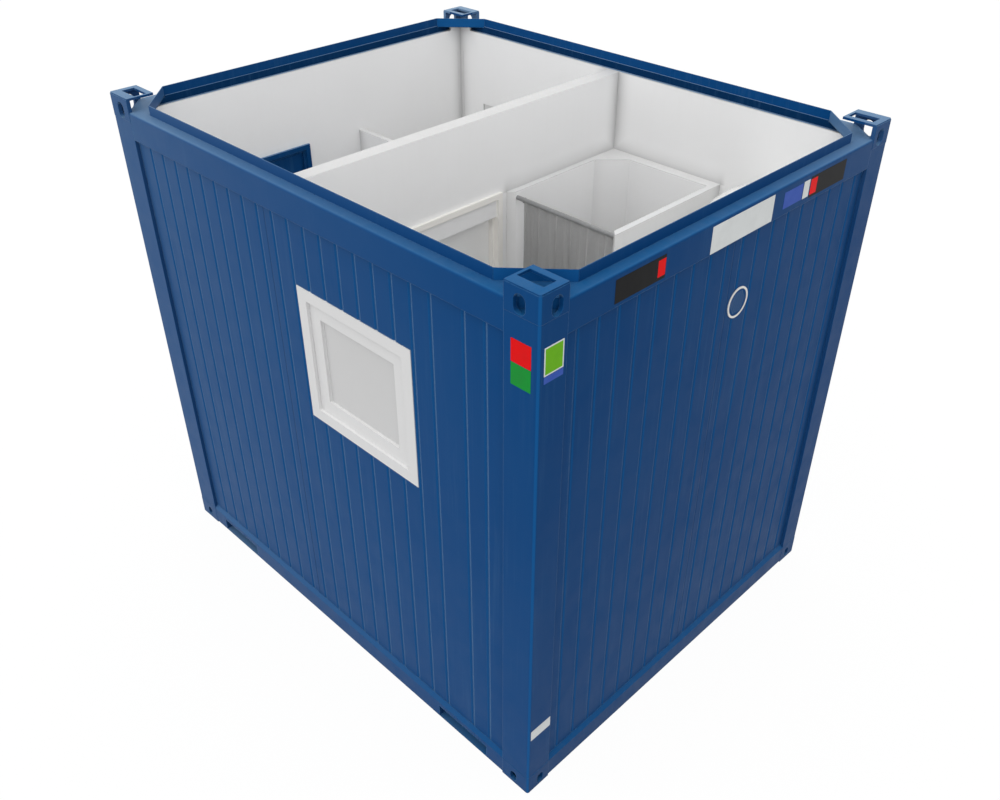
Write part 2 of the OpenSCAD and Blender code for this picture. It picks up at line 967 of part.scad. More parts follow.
// Frame of the inner door, whose panel over the leaf belongs to the partition
module inner_door_frame() {
    leaf_back = leaf_t + clear * 10;
    depth = frame_out - frame_in;
    color([0.77, 0.75, 0.71])
        translate([frame_in, inner_door_y, 0])
            rotate([0, 0, -90]) {
                for (s = [0, 1])
                    mirror([s, 0, 0]) {
                        translate([-door_w / 2, 0, z_floor])
                            linear_extrude(transom_z - z_floor)
                                jamb_section(inner_jamb, 0, leaf_back, stop_w, depth - 31, depth);
                        block([-door_w / 2, 0, transom_z], [-door_w / 2 + inner_jamb, depth, door_head_z]);
                    }
                block([-door_w / 2, 0, door_head_z - inner_jamb], [door_w / 2, depth, door_head_z]);
            }
}

// Fixed half of a hinge: barrel and pin round the z axis, on an arm from a to b
module hinge_fixed(a, b) {
    cylinder(r = barrel_r, h = barrel_l, $fn = 32);
    cylinder(r = hinge_pin_r, h = 2 * barrel_l - 2, $fn = 32);
    block([a.x, a.y, 0], [b.x, b.y, barrel_l]);
}

// Turning half of a hinge, with its arm; hinge_bore cuts the same hole
module hinge_leaf(a, b) {
    translate([0, 0, barrel_l + seat]) {
        cylinder(r = barrel_r, h = barrel_l, $fn = 32);
        block([a.x, a.y, 0], [b.x, b.y, barrel_l]);
    }
}

module hinge_bore() {
    translate([0, 0, barrel_l + seat - 1])
        cylinder(r = hinge_pin_r + clear, h = barrel_l + 2, $fn = 32);
}

// Frames of reference of the three doors: x runs along the leaf from the hinge pin, y into the leaf
outer_pin = [outer_door_y - door_w / 2 + outer_jamb + barrel_r + 0.5, leaf_out - barrel_r];
inner_pin = [frame_in - barrel_r - 0.5, inner_door_y - door_w / 2 + inner_jamb + leaf_gap / 2];
wc_pin = [wc_door_x + leaf_gap / 2, cubicle_y - barrel_r - 0.5];

module at_outer_door() {
    on_left()
        translate([outer_pin.x, outer_pin.y, 0])
            children();
}

module at_inner_door() {
    translate([inner_pin.x, inner_pin.y, 0])
        rotate([0, 0, 90])
            mirror([0, 1, 0])
                children();
}

module at_wc_door() {
    translate([wc_pin.x, wc_pin.y, 0])
        children();
}

module at_hinges() {
    for (z = hinge_zs)
        translate([0, 0, z_floor + z])
            children();
}

module door_hinge_pins() {
    r = barrel_r;
    color([0.6, 0.6, 0.62]) {
        at_outer_door()
            at_hinges()
                hinge_fixed([-r - 0.5, -r], [0, r - 1]);
        at_inner_door()
            at_hinges()
                hinge_fixed([-28, 0], [0, r + 0.5]);
        at_wc_door()
            at_hinges()
                hinge_fixed([-28, 0], [0, r + 0.5]);
    }
}

// Leaf with its hinge halves, roses and spindle bore, in its door's frame of reference
module door_leaf(x0, width, t, face, foot, head) {
    lever_x = x0 + width - backset;
    difference() {
        union() {
            block([x0, face, foot], [x0 + width, face + t, head]);
            at_hinges()
                hinge_leaf([0, 0], [26, face + 1]);
            translate([lever_x, face - rose_t, lever_z])
                rotate([-90, 0, 0])
                    cylinder(r = 24, h = t + 2 * rose_t, $fn = 48);
        }
        at_hinges()
            hinge_bore();
        translate([lever_x, face - rose_t - 1, lever_z])
            rotate([-90, 0, 0])
                cylinder(r = grip_r + clear, h = t + 2 * rose_t + 2, $fn = 32);
    }
}

// Spindle with a lever on each side, pointing back at the hinge
module door_lever(x0, width, t, face) {
    bar = 13;
    reach = grip_gap + bar;
    translate([x0 + width - backset, face + t / 2, lever_z]) {
        rotate([90, 0, 0])
            cylinder(r = grip_r, h = t + 2 * reach, center = true, $fn = 32);
        for (s = [0, 1])
            mirror([0, s, 0])
                translate([grip_r + 2, t / 2 + grip_gap, 0])
                    rotate([0, -90, 0])
                        grip(20, bar, lever_l);
    }
}

outer_leaf_w = door_w - 2 * outer_jamb - 2 * leaf_gap;
outer_leaf_x = -barrel_r - 0.5 + leaf_gap;
inner_leaf_w = door_w - 2 * inner_jamb - 2 * leaf_gap;
wc_leaf_w = wc_door_w - 2 * leaf_gap;

module outer_door_leaf() {
    color(steel_blue)
        at_outer_door()
            door_leaf(
                outer_leaf_x, outer_leaf_w, leaf_t, barrel_r, leaf_foot,
                door_head_z - outer_jamb - leaf_gap
            );
}

module outer_door_lever() {
    color([0.75, 0.75, 0.76])
        at_outer_door()
            door_lever(outer_leaf_x, outer_leaf_w, leaf_t, barrel_r);
}

module inner_door_leaf() {
    color([0.85, 0.84, 0.82])
        at_inner_door()
            door_leaf(leaf_gap / 2, inner_leaf_w, leaf_t, barrel_r + 0.5, leaf_foot, transom_z + stop_w);
}

module inner_door_lever() {
    color([0.75, 0.75, 0.76])
        at_inner_door()
            door_lever(leaf_gap / 2, inner_leaf_w, leaf_t, barrel_r + 0.5);
}

module wc_door_leaf() {
    color([0.85, 0.84, 0.82])
        at_wc_door()
            door_leaf(leaf_gap / 2, wc_leaf_w, cubicle_t, barrel_r + 0.5, leaf_foot + 12, wc_head - leaf_gap);
}

module wc_door_lever() {
    color([0.75, 0.75, 0.76])
        at_wc_door()
            door_lever(leaf_gap / 2, wc_leaf_w, cubicle_t, barrel_r + 0.5);
}

// ---- windows, drawn from outside: x across from the middle, y inwards, z up from the sill

module at_front_window() {
    on_front()
        translate([front_window_x, 0, window_z])
            children();
}

module at_back_window() {
    on_back()
        translate([back_window_x, 0, window_z])
            children();
}

// Square ring between two borders measured from the window's edge, over a depth
module window_ring(edge, border, y0, y1) {
    difference() {
        block([-window_w / 2 + edge, y0, edge], [window_w / 2 - edge, y1, window_h - edge]);
        block(
            [-window_w / 2 + border, y0 - 1, border],
            [window_w / 2 - border, y1 + 1, window_h - border]
        );
    }
}

tilt_y = window_in + 6.5;                // depth of the tilt pins
tilt_xs = [-200, 180];                   // where the two hinges start
tilt_l = 20;
tilt_r = 6;
tilt_pin_r = 3;

module window_frame() {
    window_ring(0, frame_border, window_out, window_out + 16);
    window_ring(0, sash_in - sash_gap, window_out + 16, window_in);
    for (x = tilt_xs)
        translate([x, tilt_y, sash_in])
            rotate([0, 90, 0]) {
                cylinder(r = tilt_r, h = tilt_l, $fn = 32);
                cylinder(r = tilt_pin_r, h = 2 * tilt_l - 1, $fn = 32);
                block([0, window_in - tilt_y, 0], [14, 0, tilt_l]);
            }
}

handle_x = window_w / 2 - sash_in - (frame_border + sash_border - sash_in) / 2;
handle_z = window_h / 2;
module window_sash() {
    border = frame_border + sash_border;
    difference() {
        union() {
            window_ring(sash_in, border, sash_out, window_in);
            for (x = tilt_xs)
                translate([x + tilt_l + seat, tilt_y, sash_in])
                    rotate([0, 90, 0]) {
                        cylinder(r = tilt_r, h = tilt_l, $fn = 32);
                        block([-14, window_in - tilt_y - 1, 0], [0, 0, tilt_l]);
                    }
            translate([handle_x, window_in - 1, handle_z])
                rotate([-90, 0, 0])
                    cylinder(r = 15, h = 7, $fn = 32);
        }
        window_ring(border - 12, border + 1, sash_out + 14, sash_out + 14 + pane_t);
        for (x = tilt_xs)
            translate([x + tilt_l - 1, tilt_y, sash_in])
                rotate([0, 90, 0])
                    cylinder(r = tilt_pin_r + clear, h = tilt_l + 3, $fn = 32);
        translate([handle_x, window_in - 14, handle_z])
            rotate([-90, 0, 0])
                cylinder(r = 5 + clear, h = 30, $fn = 32);
    }
}

module window_pane() {
    e = frame_border + sash_border - 12;
    block(
        [-window_w / 2 + e, sash_out + 14, e],
        [window_w / 2 - e, sash_out + 14 + pane_t, window_h - e]
    );
}

// Handle that points down when the window is locked
module window_handle() {
    translate([handle_x, 0, handle_z]) {
        translate([0, window_in - 13, 0])
            rotate([-90, 0, 0])
                cylinder(r = 5, h = 30, $fn = 32);
        translate([0, window_in + 6 + seat, 0])
            rotate([-90, 0, 0])
                cylinder(r = 10, h = 24, $fn = 32);
        translate([0, window_in + 28, 9])
            mirror([0, 0, 1])
                grip(18, 12, 120);
    }
}

white = [0.83, 0.83, 0.83];
module window_frames() {
    color(white) {
        at_front_window()
            window_frame();
        at_back_window()
            window_frame();
    }
}

module front_sash() {
    color(white)
        at_front_window()
            window_sash();
}

module back_sash() {
    color(white)
        at_back_window()
            window_sash();
}

module front_pane() {
    color([0.77, 0.78, 0.79])
        at_front_window()
            window_pane();
}

module back_pane() {
    color([0.77, 0.78, 0.79])
        at_back_window()
            window_pane();
}

module front_window_handle() {
    color(white)
        at_front_window()
            window_handle();
}

module back_window_handle() {
    color(white)
        at_back_window()
            window_handle();
}

// ---- vent

module vent_ring() {
    color([0.87, 0.85, 0.83])
        on_right()
            translate([vent_y, panel_recess - 4, vent_z])
                rotate([-90, 0, 0])
                    difference() {
                        union() {
                            cylinder(r = vent_d / 2, h = 4, $fn = 96);
                            cylinder(r = duct_r, h = room_in - panel_recess + 4, $fn = 64);
                        }
                        translate([0, 0, -1])
                            cylinder(r = vent_r, h = room_in, $fn = 64);
                    }
}

// Perforated disc with staggered rows of holes
module vent_grille() {
    rim = vent_r - 5;
    rows = floor(rim / (vent_pitch * 0.866));
    color(steel_blue)
        on_right()
            translate([vent_y, panel_recess - 2, vent_z])
                rotate([-90, 0, 0])
                    difference() {
                        cylinder(r = vent_r - 0.15, h = 3, $fn = 64);
                        for (i = [-rows:rows], j = [-rows:rows]) {
                            p = [(j + (i % 2 == 0 ? 0 : 0.5)) * vent_pitch, i * vent_pitch * 0.866];
                            if (norm(p) < rim - vent_hole_d / 2)
                                translate([p.x, p.y, -1])
                                    cylinder(r = vent_hole_d / 2, h = 5, $fn = 16);
                        }
                    }
}

// ---- shower

// Room inside the cabin, as a plan
module cabin_inside(front) {
    polygon([
        [cab_in_x0, cab_y0 + front],
        [cab_in_x0, cab_in_y - cabin_corner],
        [cab_in_x0 + cabin_corner, cab_in_y],
        [cab_in_x1, cab_in_y],
        [cab_in_x1, cab_y0 + front]
    ]);
}

module shower_tray() {
    top = z_floor + tray_h;
    drain = [cab_in_x0 + 330, cab_y0 + 430];
    color(white)
        difference() {
            block([partition_x, cab_y0, z_floor], [cab_x1, room_y, top]);
            translate([0, 0, top - tray_well])
                linear_extrude(tray_well + 1)
                    cabin_inside(tray_rim);
            translate([drain.x, drain.y, z_floor + 12])
                cylinder(r = 30, h = tray_h, $fn = 48);
        }
}

// Side and back walls with the slanting column in the corner
module shower_walls() {
    z0 = z_floor + tray_h;
    w = cabin_wall;
    color([0.80, 0.80, 0.81])
        translate([0, 0, z0])
            linear_extrude(cabin_z - z0)
                polygon([
                    [partition_x, cab_y0 + 5],
                    [cab_in_x0, cab_y0 + 5 + w],
                    [cab_in_x0, cab_in_y - cabin_corner],
                    [cab_in_x0 + cabin_corner, cab_in_y],
                    [cab_in_x1, cab_in_y],
                    [cab_in_x1, cab_y0 + 5 + w],
                    [cab_x1, cab_y0 + 5],
                    [cab_x1, room_y],
                    [partition_x, room_y]
                ]);
}

// Rod with a wall flange at each end
module curtain_rod() {
    color([0.6, 0.6, 0.6])
        translate([cab_in_x0, rod_y, rod_z])
            rotate([0, 90, 0]) {
                cylinder(r = rod_r, h = cab_in_x1 - cab_in_x0, $fn = 32);
                cylinder(r = 2 * rod_r, h = 6, $fn = 32);
                translate([0, 0, cab_in_x1 - cab_in_x0 - 6])
                    cylinder(r = 2 * rod_r, h = 6, $fn = 32);
            }
}

// Line of the folds: rounded waves that swell and tighten along the rod
function fold_y(u) =
    let (a = 360 * fold_count * (u + 0.012 * sin(720 * u)))
    fold_depth * sin(a) * (0.85 + 0.15 * sin(500 * u + 40));

module shower_curtain() {
    steps = 8 * fold_count;
    x0 = curtain_x0 + 8 + seat + cloth_t / 2;
    x1 = curtain_x1 - cloth_t / 2;
    line = [for (i = [0:steps]) [x0 + (x1 - x0) * i / steps, rod_y + fold_y(i / steps)]];
    normal = [
        for (i = [0:steps])
            let (d = line[min(i + 1, steps)] - line[max(i - 1, 0)])
            [-d.y, d.x] / norm(d) * cloth_t / 2
    ];
    color([0.48, 0.50, 0.52])
        translate([0, 0, curtain_z0])
            linear_extrude(rod_z - rod_r - seat - curtain_z0)
                polygon(concat(
                    [for (i = [0:steps]) line[i] + normal[i]],
                    [for (i = [steps:-1:0]) line[i] - normal[i]]
                ));
}

// Stiffened leading edge that is drawn along the rod, with its ring
module curtain_edge() {
    top = rod_z - rod_r - seat;
    color([0.45, 0.47, 0.49]) {
        block([curtain_x0, rod_y - cloth_t, curtain_z0], [curtain_x0 + 8, rod_y + cloth_t, top - 2]);
        translate([curtain_x0, rod_y, rod_z])
            rotate([0, 90, 0])
                difference() {
                    cylinder(r = rod_r + 4, h = 8, $fn = 32);
                    translate([0, 0, -1])
                        cylinder(r = rod_r + clear * 2, h = 10, $fn = 32);
                }
    }
}

// Valve body on the cabin's right wall
valve_l = 45;
module shower_valve() {
    color([0.78, 0.78, 0.80])
        translate([cab_in_x1, valve_y, valve_z])
            rotate([0, -90, 0])
                difference() {
                    union() {
                        cylinder(r = 45, h = 6, $fn = 48);
                        cylinder(r = 30, h = valve_l, $fn = 48);
                    }
                    translate([0, 0, valve_l - 20])
                        cylinder(r = 16 + clear, h = 30, $fn = 48);
                }
}

// Button that is pushed in to start the water
module shower_button() {
    color([0.85, 0.85, 0.86])
        translate([cab_in_x1 - valve_l + 12, valve_y, valve_z])
            rotate([0, -90, 0]) {
                cylinder(r = 16, h = 24, $fn = 48);
                translate([0, 0, 20])
                    cylinder(r = 20, h = 6, $fn = 48);
            }
}

// Riser, arm and fixed head
module shower_pipe() {
    x = cab_in_x1 - 20;
    z = z_floor + shower_h;
    color([0.78, 0.78, 0.80])
        translate([0, valve_y, 0]) {
            pipe_run([[x, 0, valve_z + 30], [x, 0, z], [x - arm_l, 0, z], [x - arm_l, 0, z - 25]], pipe_r);
            translate([x - arm_l, 0, z - 45])
                rotate_extrude($fn = 48)
                    polygon([[0, 0], [50, 0], [50, 6], [12, 25], [0, 25]]);
            for (h = [valve_z + 160, z - 60])
                translate([x, 0, h])
                    rotate([0, 90, 0])
                        cylinder(r = 7, h = 20, $fn = 24);
        }
}

// ---- toilet, facing +X from the door wall

// Long round outline from the hinge line to the front of the rim
module toilet_outline(r, back) {
    circle(r = r, $fn = 64);
    translate([-back, -r])
        square([back, 2 * r]);
}

module toilet_pan() {
    r = toilet_r;
    back = toilet_x + room_x;
    color("white")
        translate([toilet_x, toilet_y, z_floor])
            difference() {
                union() {
                    translate([0, 0, toilet_h - 45])
                        linear_extrude(45)
                            toilet_outline(r, seat_back);
                    hull() {
                        translate([0, 0, toilet_h - 60])
                            linear_extrude(15)
                                circle(r = r - 2, $fn = 40);
                        translate([-60, 0, 0])
                            linear_extrude(10)
                                circle(r = r * 0.62, $fn = 40);
                    }
                    hull() {
                        translate([-back, -r + 12, toilet_h - 60])
                            cube([back, 2 * r - 24, 15]);
                        translate([-back, -r * 0.62, 0])
                            cube([back - 60, r * 1.24, 10]);
                    }
                    translate([-back, -r, toilet_h - 45])
                        cube([back - 150, 2 * r, 45]);
                    for (y = [-lug_mid, lug_mid])
                        translate([-seat_back, y, toilet_h]) {
                            block([-9, -7, -1], [9, 7, 14]);
                            translate([0, 0, 14])
                                rotate([90, 0, 0])
                                    cylinder(r = 9, h = 14, center = true, $fn = 32);
                        }
                }
                translate([-seat_back, 0, toilet_h + 14])
                    rotate([90, 0, 0])
                        cylinder(r = 4 + clear, h = 3 * r, center = true, $fn = 32);
                translate([0, 0, toilet_h - 215])
                    rotate_extrude($fn = 64)
                        polygon([
                            [0, 0],
                            [r * 0.28, 0],
                            [r * 0.55, 60],
                            [r - 42, 170],
                            [r - 34, 190],
                            [r - 34, 216],
                            [0, 216]
                        ]);
            }
}

module toilet_cistern() {
    x0 = -room_x;
    color("white")
        difference() {
            block(
                [x0, toilet_y - cistern_w / 2, rim_z],
                [x0 + cistern_d, toilet_y + cistern_w / 2, rim_z + cistern_h]
            );
            translate([x0 + cistern_d / 2, toilet_y, rim_z + cistern_h - 30])
                cylinder(r = 22 + clear, h = 31, $fn = 48);
        }
}

module flush_button() {
    color([0.75, 0.75, 0.76])
        translate([-room_x + cistern_d / 2, toilet_y, rim_z + cistern_h - 20])
            cylinder(r = 22, h = 26, $fn = 48);
}

seat_t = 20;
seat_axis_z = rim_z + 14;                // hinge axis of seat and lid above the rim
lug_mid = 120;                           // place of the pan's lugs
lug_y = [lug_mid - 22, lug_mid + 22];    // places of the seat's and the lid's lugs

// Seat ring with two lugs on the hinge pin
module toilet_seat() {
    r = toilet_r;
    color([0.9, 0.9, 0.9])
        difference() {
            union() {
                translate([toilet_x, toilet_y, rim_z + seat])
                    linear_extrude(seat_t)
                        difference() {
                            toilet_outline(r + 2, seat_back - 40);
                            circle(r = r - 50, $fn = 64);
                        }
                for (s = [-1, 1])
                    translate([seat_hinge_x, toilet_y + s * lug_y[0], seat_axis_z]) {
                        rotate([90, 0, 0])
                            cylinder(r = 9, h = 16, center = true, $fn = 32);
                        block([0, -8, -9], [45, 8, 6]);
                    }
            }
            translate([seat_hinge_x, toilet_y, seat_axis_z])
                rotate([90, 0, 0])
                    cylinder(r = 4 + clear, h = 2 * r, center = true, $fn = 32);
        }
}

// Lid, stored open against the cistern; its pin carries the seat and turns in the pan's lugs
module toilet_lid() {
    r = toilet_r;
    lean = 6;
    color([0.9, 0.9, 0.9])
        translate([seat_hinge_x, toilet_y, seat_axis_z])
            rotate([0, -90 - lean, 0]) {
                rotate([90, 0, 0])
                    cylinder(r = 4, h = 2 * lug_y[1] + 20, center = true, $fn = 32);
                for (s = [-1, 1])
                    translate([0, s * lug_y[1], 0]) {
                        rotate([90, 0, 0])
                            cylinder(r = 9, h = 12, center = true, $fn = 32);
                        block([0, -6, 7.5], [45, 6, 16]);
                    }
                translate([seat_back, 0, 10])
                    linear_extrude(14)
                        toilet_outline(r + 4, seat_back - 40);
            }
}

// ---- washbasin on the end wall

module washbasin() {
    r = bowl_r;
    back = room_x - basin_x;
    color("white")
        translate([basin_x, basin_y, basin_z])
            difference() {
                union() {
                    translate([0, 0, -50])
                        linear_extrude(50) {
                            circle(r = r + 35, $fn = 96);
                            translate([0, -r - 35])
                                square([back, 2 * r + 70]);
                        }
                    translate([0, 0, -bowl_h - 20])
                        rotate_extrude($fn = 96)
                            polygon([
                                [0, 0], [r * 0.35, 0], [r * 0.8, 40],
                                [r + 15, bowl_h - 25], [0, bowl_h - 25]
                            ]);
                }
                translate([0, 0, -bowl_h])
                    rotate_extrude($fn = 96)
                        polygon([
                            [0, 0],
                            [r * 0.3, 4],
                            [r * 0.75, 40],
                            [r - 8, bowl_h - 35],
                            [r, bowl_h + 1],
                            [0, bowl_h + 1]
                        ]);
                translate([0, 0, -bowl_h - 30])
                    cylinder(r = 20, h = 40, $fn = 48);
            }
}

tap_x = room_x - 45;
module basin_tap() {
    color([0.78, 0.78, 0.80])
        translate([tap_x, basin_y, basin_z])
            difference() {
                union() {
                    cylinder(r = 24, h = 6, $fn = 48);
                    cylinder(r = 18, h = 105, $fn = 48);
                    translate([0, 0, 72])
                        rotate([0, -90, 0])
                            cylinder(r = 11, h = 120, $fn = 32);
                    translate([-108, 0, 56])
                        cylinder(r = 9, h = 12, $fn = 32);
                }
                translate([0, 0, 90])
                    cylinder(r = 12 + clear, h = 20, $fn = 48);
            }
}

module tap_button() {
    color([0.85, 0.85, 0.86])
        translate([tap_x, basin_y, basin_z + 97]) {
            cylinder(r = 12, h = 16, $fn = 48);
            translate([0, 0, 15])
                cylinder(r = 19, h = 9, $fn = 48);
        }
}

// Tailpipe, bottle trap and waste pipe to the wall
module basin_trap() {
    z = basin_z - bowl_h - 20;
    color([0.85, 0.85, 0.86])
        translate([basin_x, basin_y, z]) {
            translate([0, 0, -90])
                cylinder(r = 16, h = 90, $fn = 32);
            translate([0, 0, -190])
                cylinder(r = 32, h = 120, $fn = 48);
            translate([0, 0, -110])
                rotate([0, 90, 0])
                    cylinder(r = 16, h = room_x - basin_x, $fn = 32);
        }
}

// ---- water heater on the back wall

module heater_half() {
    r = heater_r;
    cap = (r * r + heater_dome * heater_dome) / (2 * heater_dome);
    intersection() {
        translate([0, heater_dome - cap])
            circle(r = cap, $fn = 128);
        square([r, heater_dome]);
    }
}

module water_heater() {
    foot = heater_z - heater_h;
    color(white)
        translate([heater_x, heater_y, 0])
            difference() {
                union() {
                    translate([0, 0, foot])
                        cylinder(r = heater_r, h = heater_h, $fn = 96);
                    translate([0, 0, heater_z])
                        rotate_extrude($fn = 96)
                            heater_half();
                    translate([0, 0, foot - 30])
                        cylinder(r = heater_r - 30, h = 30, $fn = 96);
                    for (z = [foot + 120, heater_z - 160])
                        block([-150, heater_r - 60, z], [150, heater_off, z + 40]);
                }
                translate([0, -120, foot - 31])
                    cylinder(r = 6 + clear, h = 20, $fn = 32);
            }
}

// Thermostat dial under the heater
module heater_dial() {
    foot = heater_z - heater_h - 30;
    color([0.2, 0.2, 0.22])
        translate([heater_x, heater_y - 120, foot]) {
            translate([0, 0, -2])
                cylinder(r = 6, h = 17, $fn = 32);
            translate([0, 0, -16])
                cylinder(r = 24, h = 16 - seat, $fn = 48);
            block([-3, 0, -22], [3, 23, -16]);
        }
}

// Feed pipes from the heater to the shower valve and to the tap
module water_pipes() {
    foot = heater_z - heater_h - 30;
    run_z = z_floor + 300;
    color([0.8, 0.8, 0.81]) {
        pipe_run([
            [heater_x - 60, heater_y, foot],
            [heater_x - 60, heater_y, foot - 60],
            [heater_x - 60, pipe_y, foot - 60],
            [heater_x - 60, pipe_y, run_z],
            [cab_x1 + 25, pipe_y, run_z],
            [cab_x1 + 25, valve_y, run_z],
            [cab_x1 + 25, valve_y, valve_z],
            [cab_x1, valve_y, valve_z]
        ], pipe_r);
        pipe_run([
            [heater_x + 60, heater_y, foot],
            [heater_x + 60, heater_y, foot - 60],
            [heater_x + 60, pipe_y, foot - 60],
            [heater_x + 60, pipe_y, run_z],
            [room_x - 25, pipe_y, run_z],
            [room_x - 25, basin_y + 90, run_z],
            [room_x - 25, basin_y + 90, basin_z - 50]
        ], pipe_r);
    }
}

floor_rails_long();
floor_rails_short();
floor_cross_members();
fork_tunnels();
underfloor_sheets();
bottom_castings();
corner_posts();
roof_rails_long();
roof_rails_short();
gutter_corners();
top_castings();
plain_panels();
window_panels();
vent_panel();
door_panel();
long_wall_linings();
end_wall_linings();
corner_trims();
floor_deck();
partition();
cubicle_wall();
outer_door_frame();
inner_door_frame();
door_hinge_pins();
window_frames();
vent_ring();
vent_grille();
shower_tray();
shower_walls();
curtain_rod();
shower_curtain();
curtain_edge();
shower_valve();
shower_button();
shower_pipe();
toilet_pan();
toilet_cistern();
flush_button();
toilet_seat();
toilet_lid();
washbasin();
basin_tap();
tap_button();
basin_trap();
water_heater();
heater_dial();
water_pipes();
outer_door_leaf();
outer_door_lever();
inner_door_leaf();
inner_door_lever();
wc_door_leaf();
wc_door_lever();
front_sash();
front_pane();
front_window_handle();
back_sash();
back_pane();
back_window_handle();
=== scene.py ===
# %% [markdown]
# # A sanitary container with its roof off
# The object is a steel cabin with a shower, a toilet, a washbasin and a water heater. Its metal frame and every
# moving part come from a CAD model. This lesson loads that model, gives each part the finish of the real thing, and
# models by hand what the CAD leaves plain or out: the curtain with its rod and tape, the panes' gaskets, the vent's
# insect screen, and the plates and labels.

# %% Load the frame
import math

import bpy
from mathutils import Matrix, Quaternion, Vector


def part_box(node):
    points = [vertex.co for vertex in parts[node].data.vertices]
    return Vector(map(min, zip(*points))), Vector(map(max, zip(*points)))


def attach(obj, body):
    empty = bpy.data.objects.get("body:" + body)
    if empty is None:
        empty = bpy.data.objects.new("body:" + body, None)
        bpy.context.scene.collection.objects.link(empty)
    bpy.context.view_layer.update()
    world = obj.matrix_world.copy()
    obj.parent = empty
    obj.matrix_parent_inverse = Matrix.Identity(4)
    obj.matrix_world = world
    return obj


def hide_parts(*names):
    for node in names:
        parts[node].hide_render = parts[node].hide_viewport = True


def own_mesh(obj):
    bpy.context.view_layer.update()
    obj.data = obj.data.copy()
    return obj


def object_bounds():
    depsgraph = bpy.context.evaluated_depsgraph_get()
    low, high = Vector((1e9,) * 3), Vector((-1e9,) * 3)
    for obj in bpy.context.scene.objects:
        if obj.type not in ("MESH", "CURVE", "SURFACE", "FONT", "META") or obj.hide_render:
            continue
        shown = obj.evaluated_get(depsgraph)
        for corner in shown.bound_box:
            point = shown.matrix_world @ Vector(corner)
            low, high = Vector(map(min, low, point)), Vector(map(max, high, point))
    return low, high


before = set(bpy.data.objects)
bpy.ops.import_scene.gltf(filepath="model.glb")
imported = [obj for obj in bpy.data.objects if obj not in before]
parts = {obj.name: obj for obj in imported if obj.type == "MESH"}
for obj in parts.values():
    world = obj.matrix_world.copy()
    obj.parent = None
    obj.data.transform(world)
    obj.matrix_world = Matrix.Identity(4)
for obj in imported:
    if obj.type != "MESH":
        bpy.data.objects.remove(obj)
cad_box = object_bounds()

print(len(parts), "CAD parts, box", [round(v, 3) for corner in cad_box for v in corner])

# %% [markdown]
# ## Where the camera stands
# The photograph was taken from above one corner. Its straight edges give the camera's place, its direction and a
# 35.7 mm lens, so the render can be laid over the photograph. A camera could also be placed by eye, but the numbers
# make the overlay exact.

# %% Camera
azimuth, elevation, roll = (math.radians(a) for a in (45.0334, 35.169, -0.0289))
camera_place = 3.4362, -3.3473, 4.4091
focal_pixels, picture_pixels, sensor_width = 990.85, 1000, 36
towards_camera = Vector((
    math.sin(azimuth) * math.cos(elevation),
    -math.cos(azimuth) * math.cos(elevation),
    math.sin(elevation),
))
bpy.ops.object.camera_add(location=camera_place)
camera = bpy.context.object
camera.rotation_mode = "QUATERNION"
camera.rotation_quaternion = (-towards_camera).to_track_quat("-Z", "Y") @ Quaternion((0, 0, 1), roll)
camera.data.sensor_width = sensor_width
camera.data.lens = focal_pixels * sensor_width / picture_pixels
camera.data.clip_end = 200
bpy.context.scene.camera = camera
print("camera at", [round(v, 2) for v in camera.location], "lens", round(camera.data.lens, 1))

# %% [markdown]
# ## Small helpers for nodes
# A material is a tree of nodes. These helpers add a node with its settings and inputs in one line, do sums on
# values, and start a node group with named sockets. A group is worth making when more than one finish needs the
# same effect.

# %% Node helpers
def add(tree, kind, inputs=None, **settings):
    """Adds one node; an input is a value or another node's socket."""
    made = tree.nodes.new("ShaderNode" + kind)
    for name, value in settings.items():
        setattr(made, name, value)
    for name, value in (inputs or {}).items():
        if isinstance(value, bpy.types.NodeSocket):
            tree.links.new(value, made.inputs[name])
        else:
            made.inputs[name].default_value = value
    return made


def start_group(name, numbers, outputs):
    """Starts a shader node group; numbers maps an input's name to its value, outputs maps a name to its kind."""
    tree = bpy.data.node_groups.new(name, "ShaderNodeTree")
    for label, value in numbers.items():
        tree.interface.new_socket(label, in_out="INPUT", socket_type="NodeSocketFloat").default_value = value
    for label, kind in outputs.items():
        tree.interface.new_socket(label, in_out="OUTPUT", socket_type="NodeSocket" + kind)
    print("effect:", name, "gives", ", ".join(outputs))
    return tree, tree.nodes.new("NodeGroupInput").outputs, tree.nodes.new("NodeGroupOutput").inputs


def use(tree, group, **numbers):
    """Places a group in a material and returns its outputs."""
    made = tree.nodes.new("ShaderNodeGroup")
    made.node_tree = group
    for label, value in numbers.items():
        made.inputs[label.replace("_", " ")].default_value = value
    return made.outputs


def span(tree, value, low, high, to_low=0.0, to_high=1.0):
    """Stretches a value from one range to another."""
    made = add(tree, "MapRange", {0: value, 1: low, 2: high, 3: to_low, 4: to_high})
    return made.outputs[0]


def calc(tree, a, b, how="MULTIPLY"):
    """One sum on two values: their product, unless another operation is named."""
    return add(tree, "Math", {0: a, 1: b}, operation=how).outputs[0]


def unsigned(tree, value):
    """A value without its sign."""
    return calc(tree, value, 0.0, "ABSOLUTE")


def mixed(tree, factor, a, b):
    """Mixes two colours."""
    made = add(tree, "Mix", {0: factor, 6: a, 7: b}, data_type="RGBA")
    return made.outputs[2]


def tone(red, green, blue):
    """A colour as it's seen on a screen, 0 to 255, turned into the numbers that a shader needs."""
    linear = [(c / 255 + 0.055) ** 2.4 / 1.055 ** 2.4 if c > 10 else c / 255 / 12.92 for c in (red, green, blue)]
    return (*linear, 1.0)


print("helpers ready; mid grey is", round(tone(128, 128, 128)[0], 3))
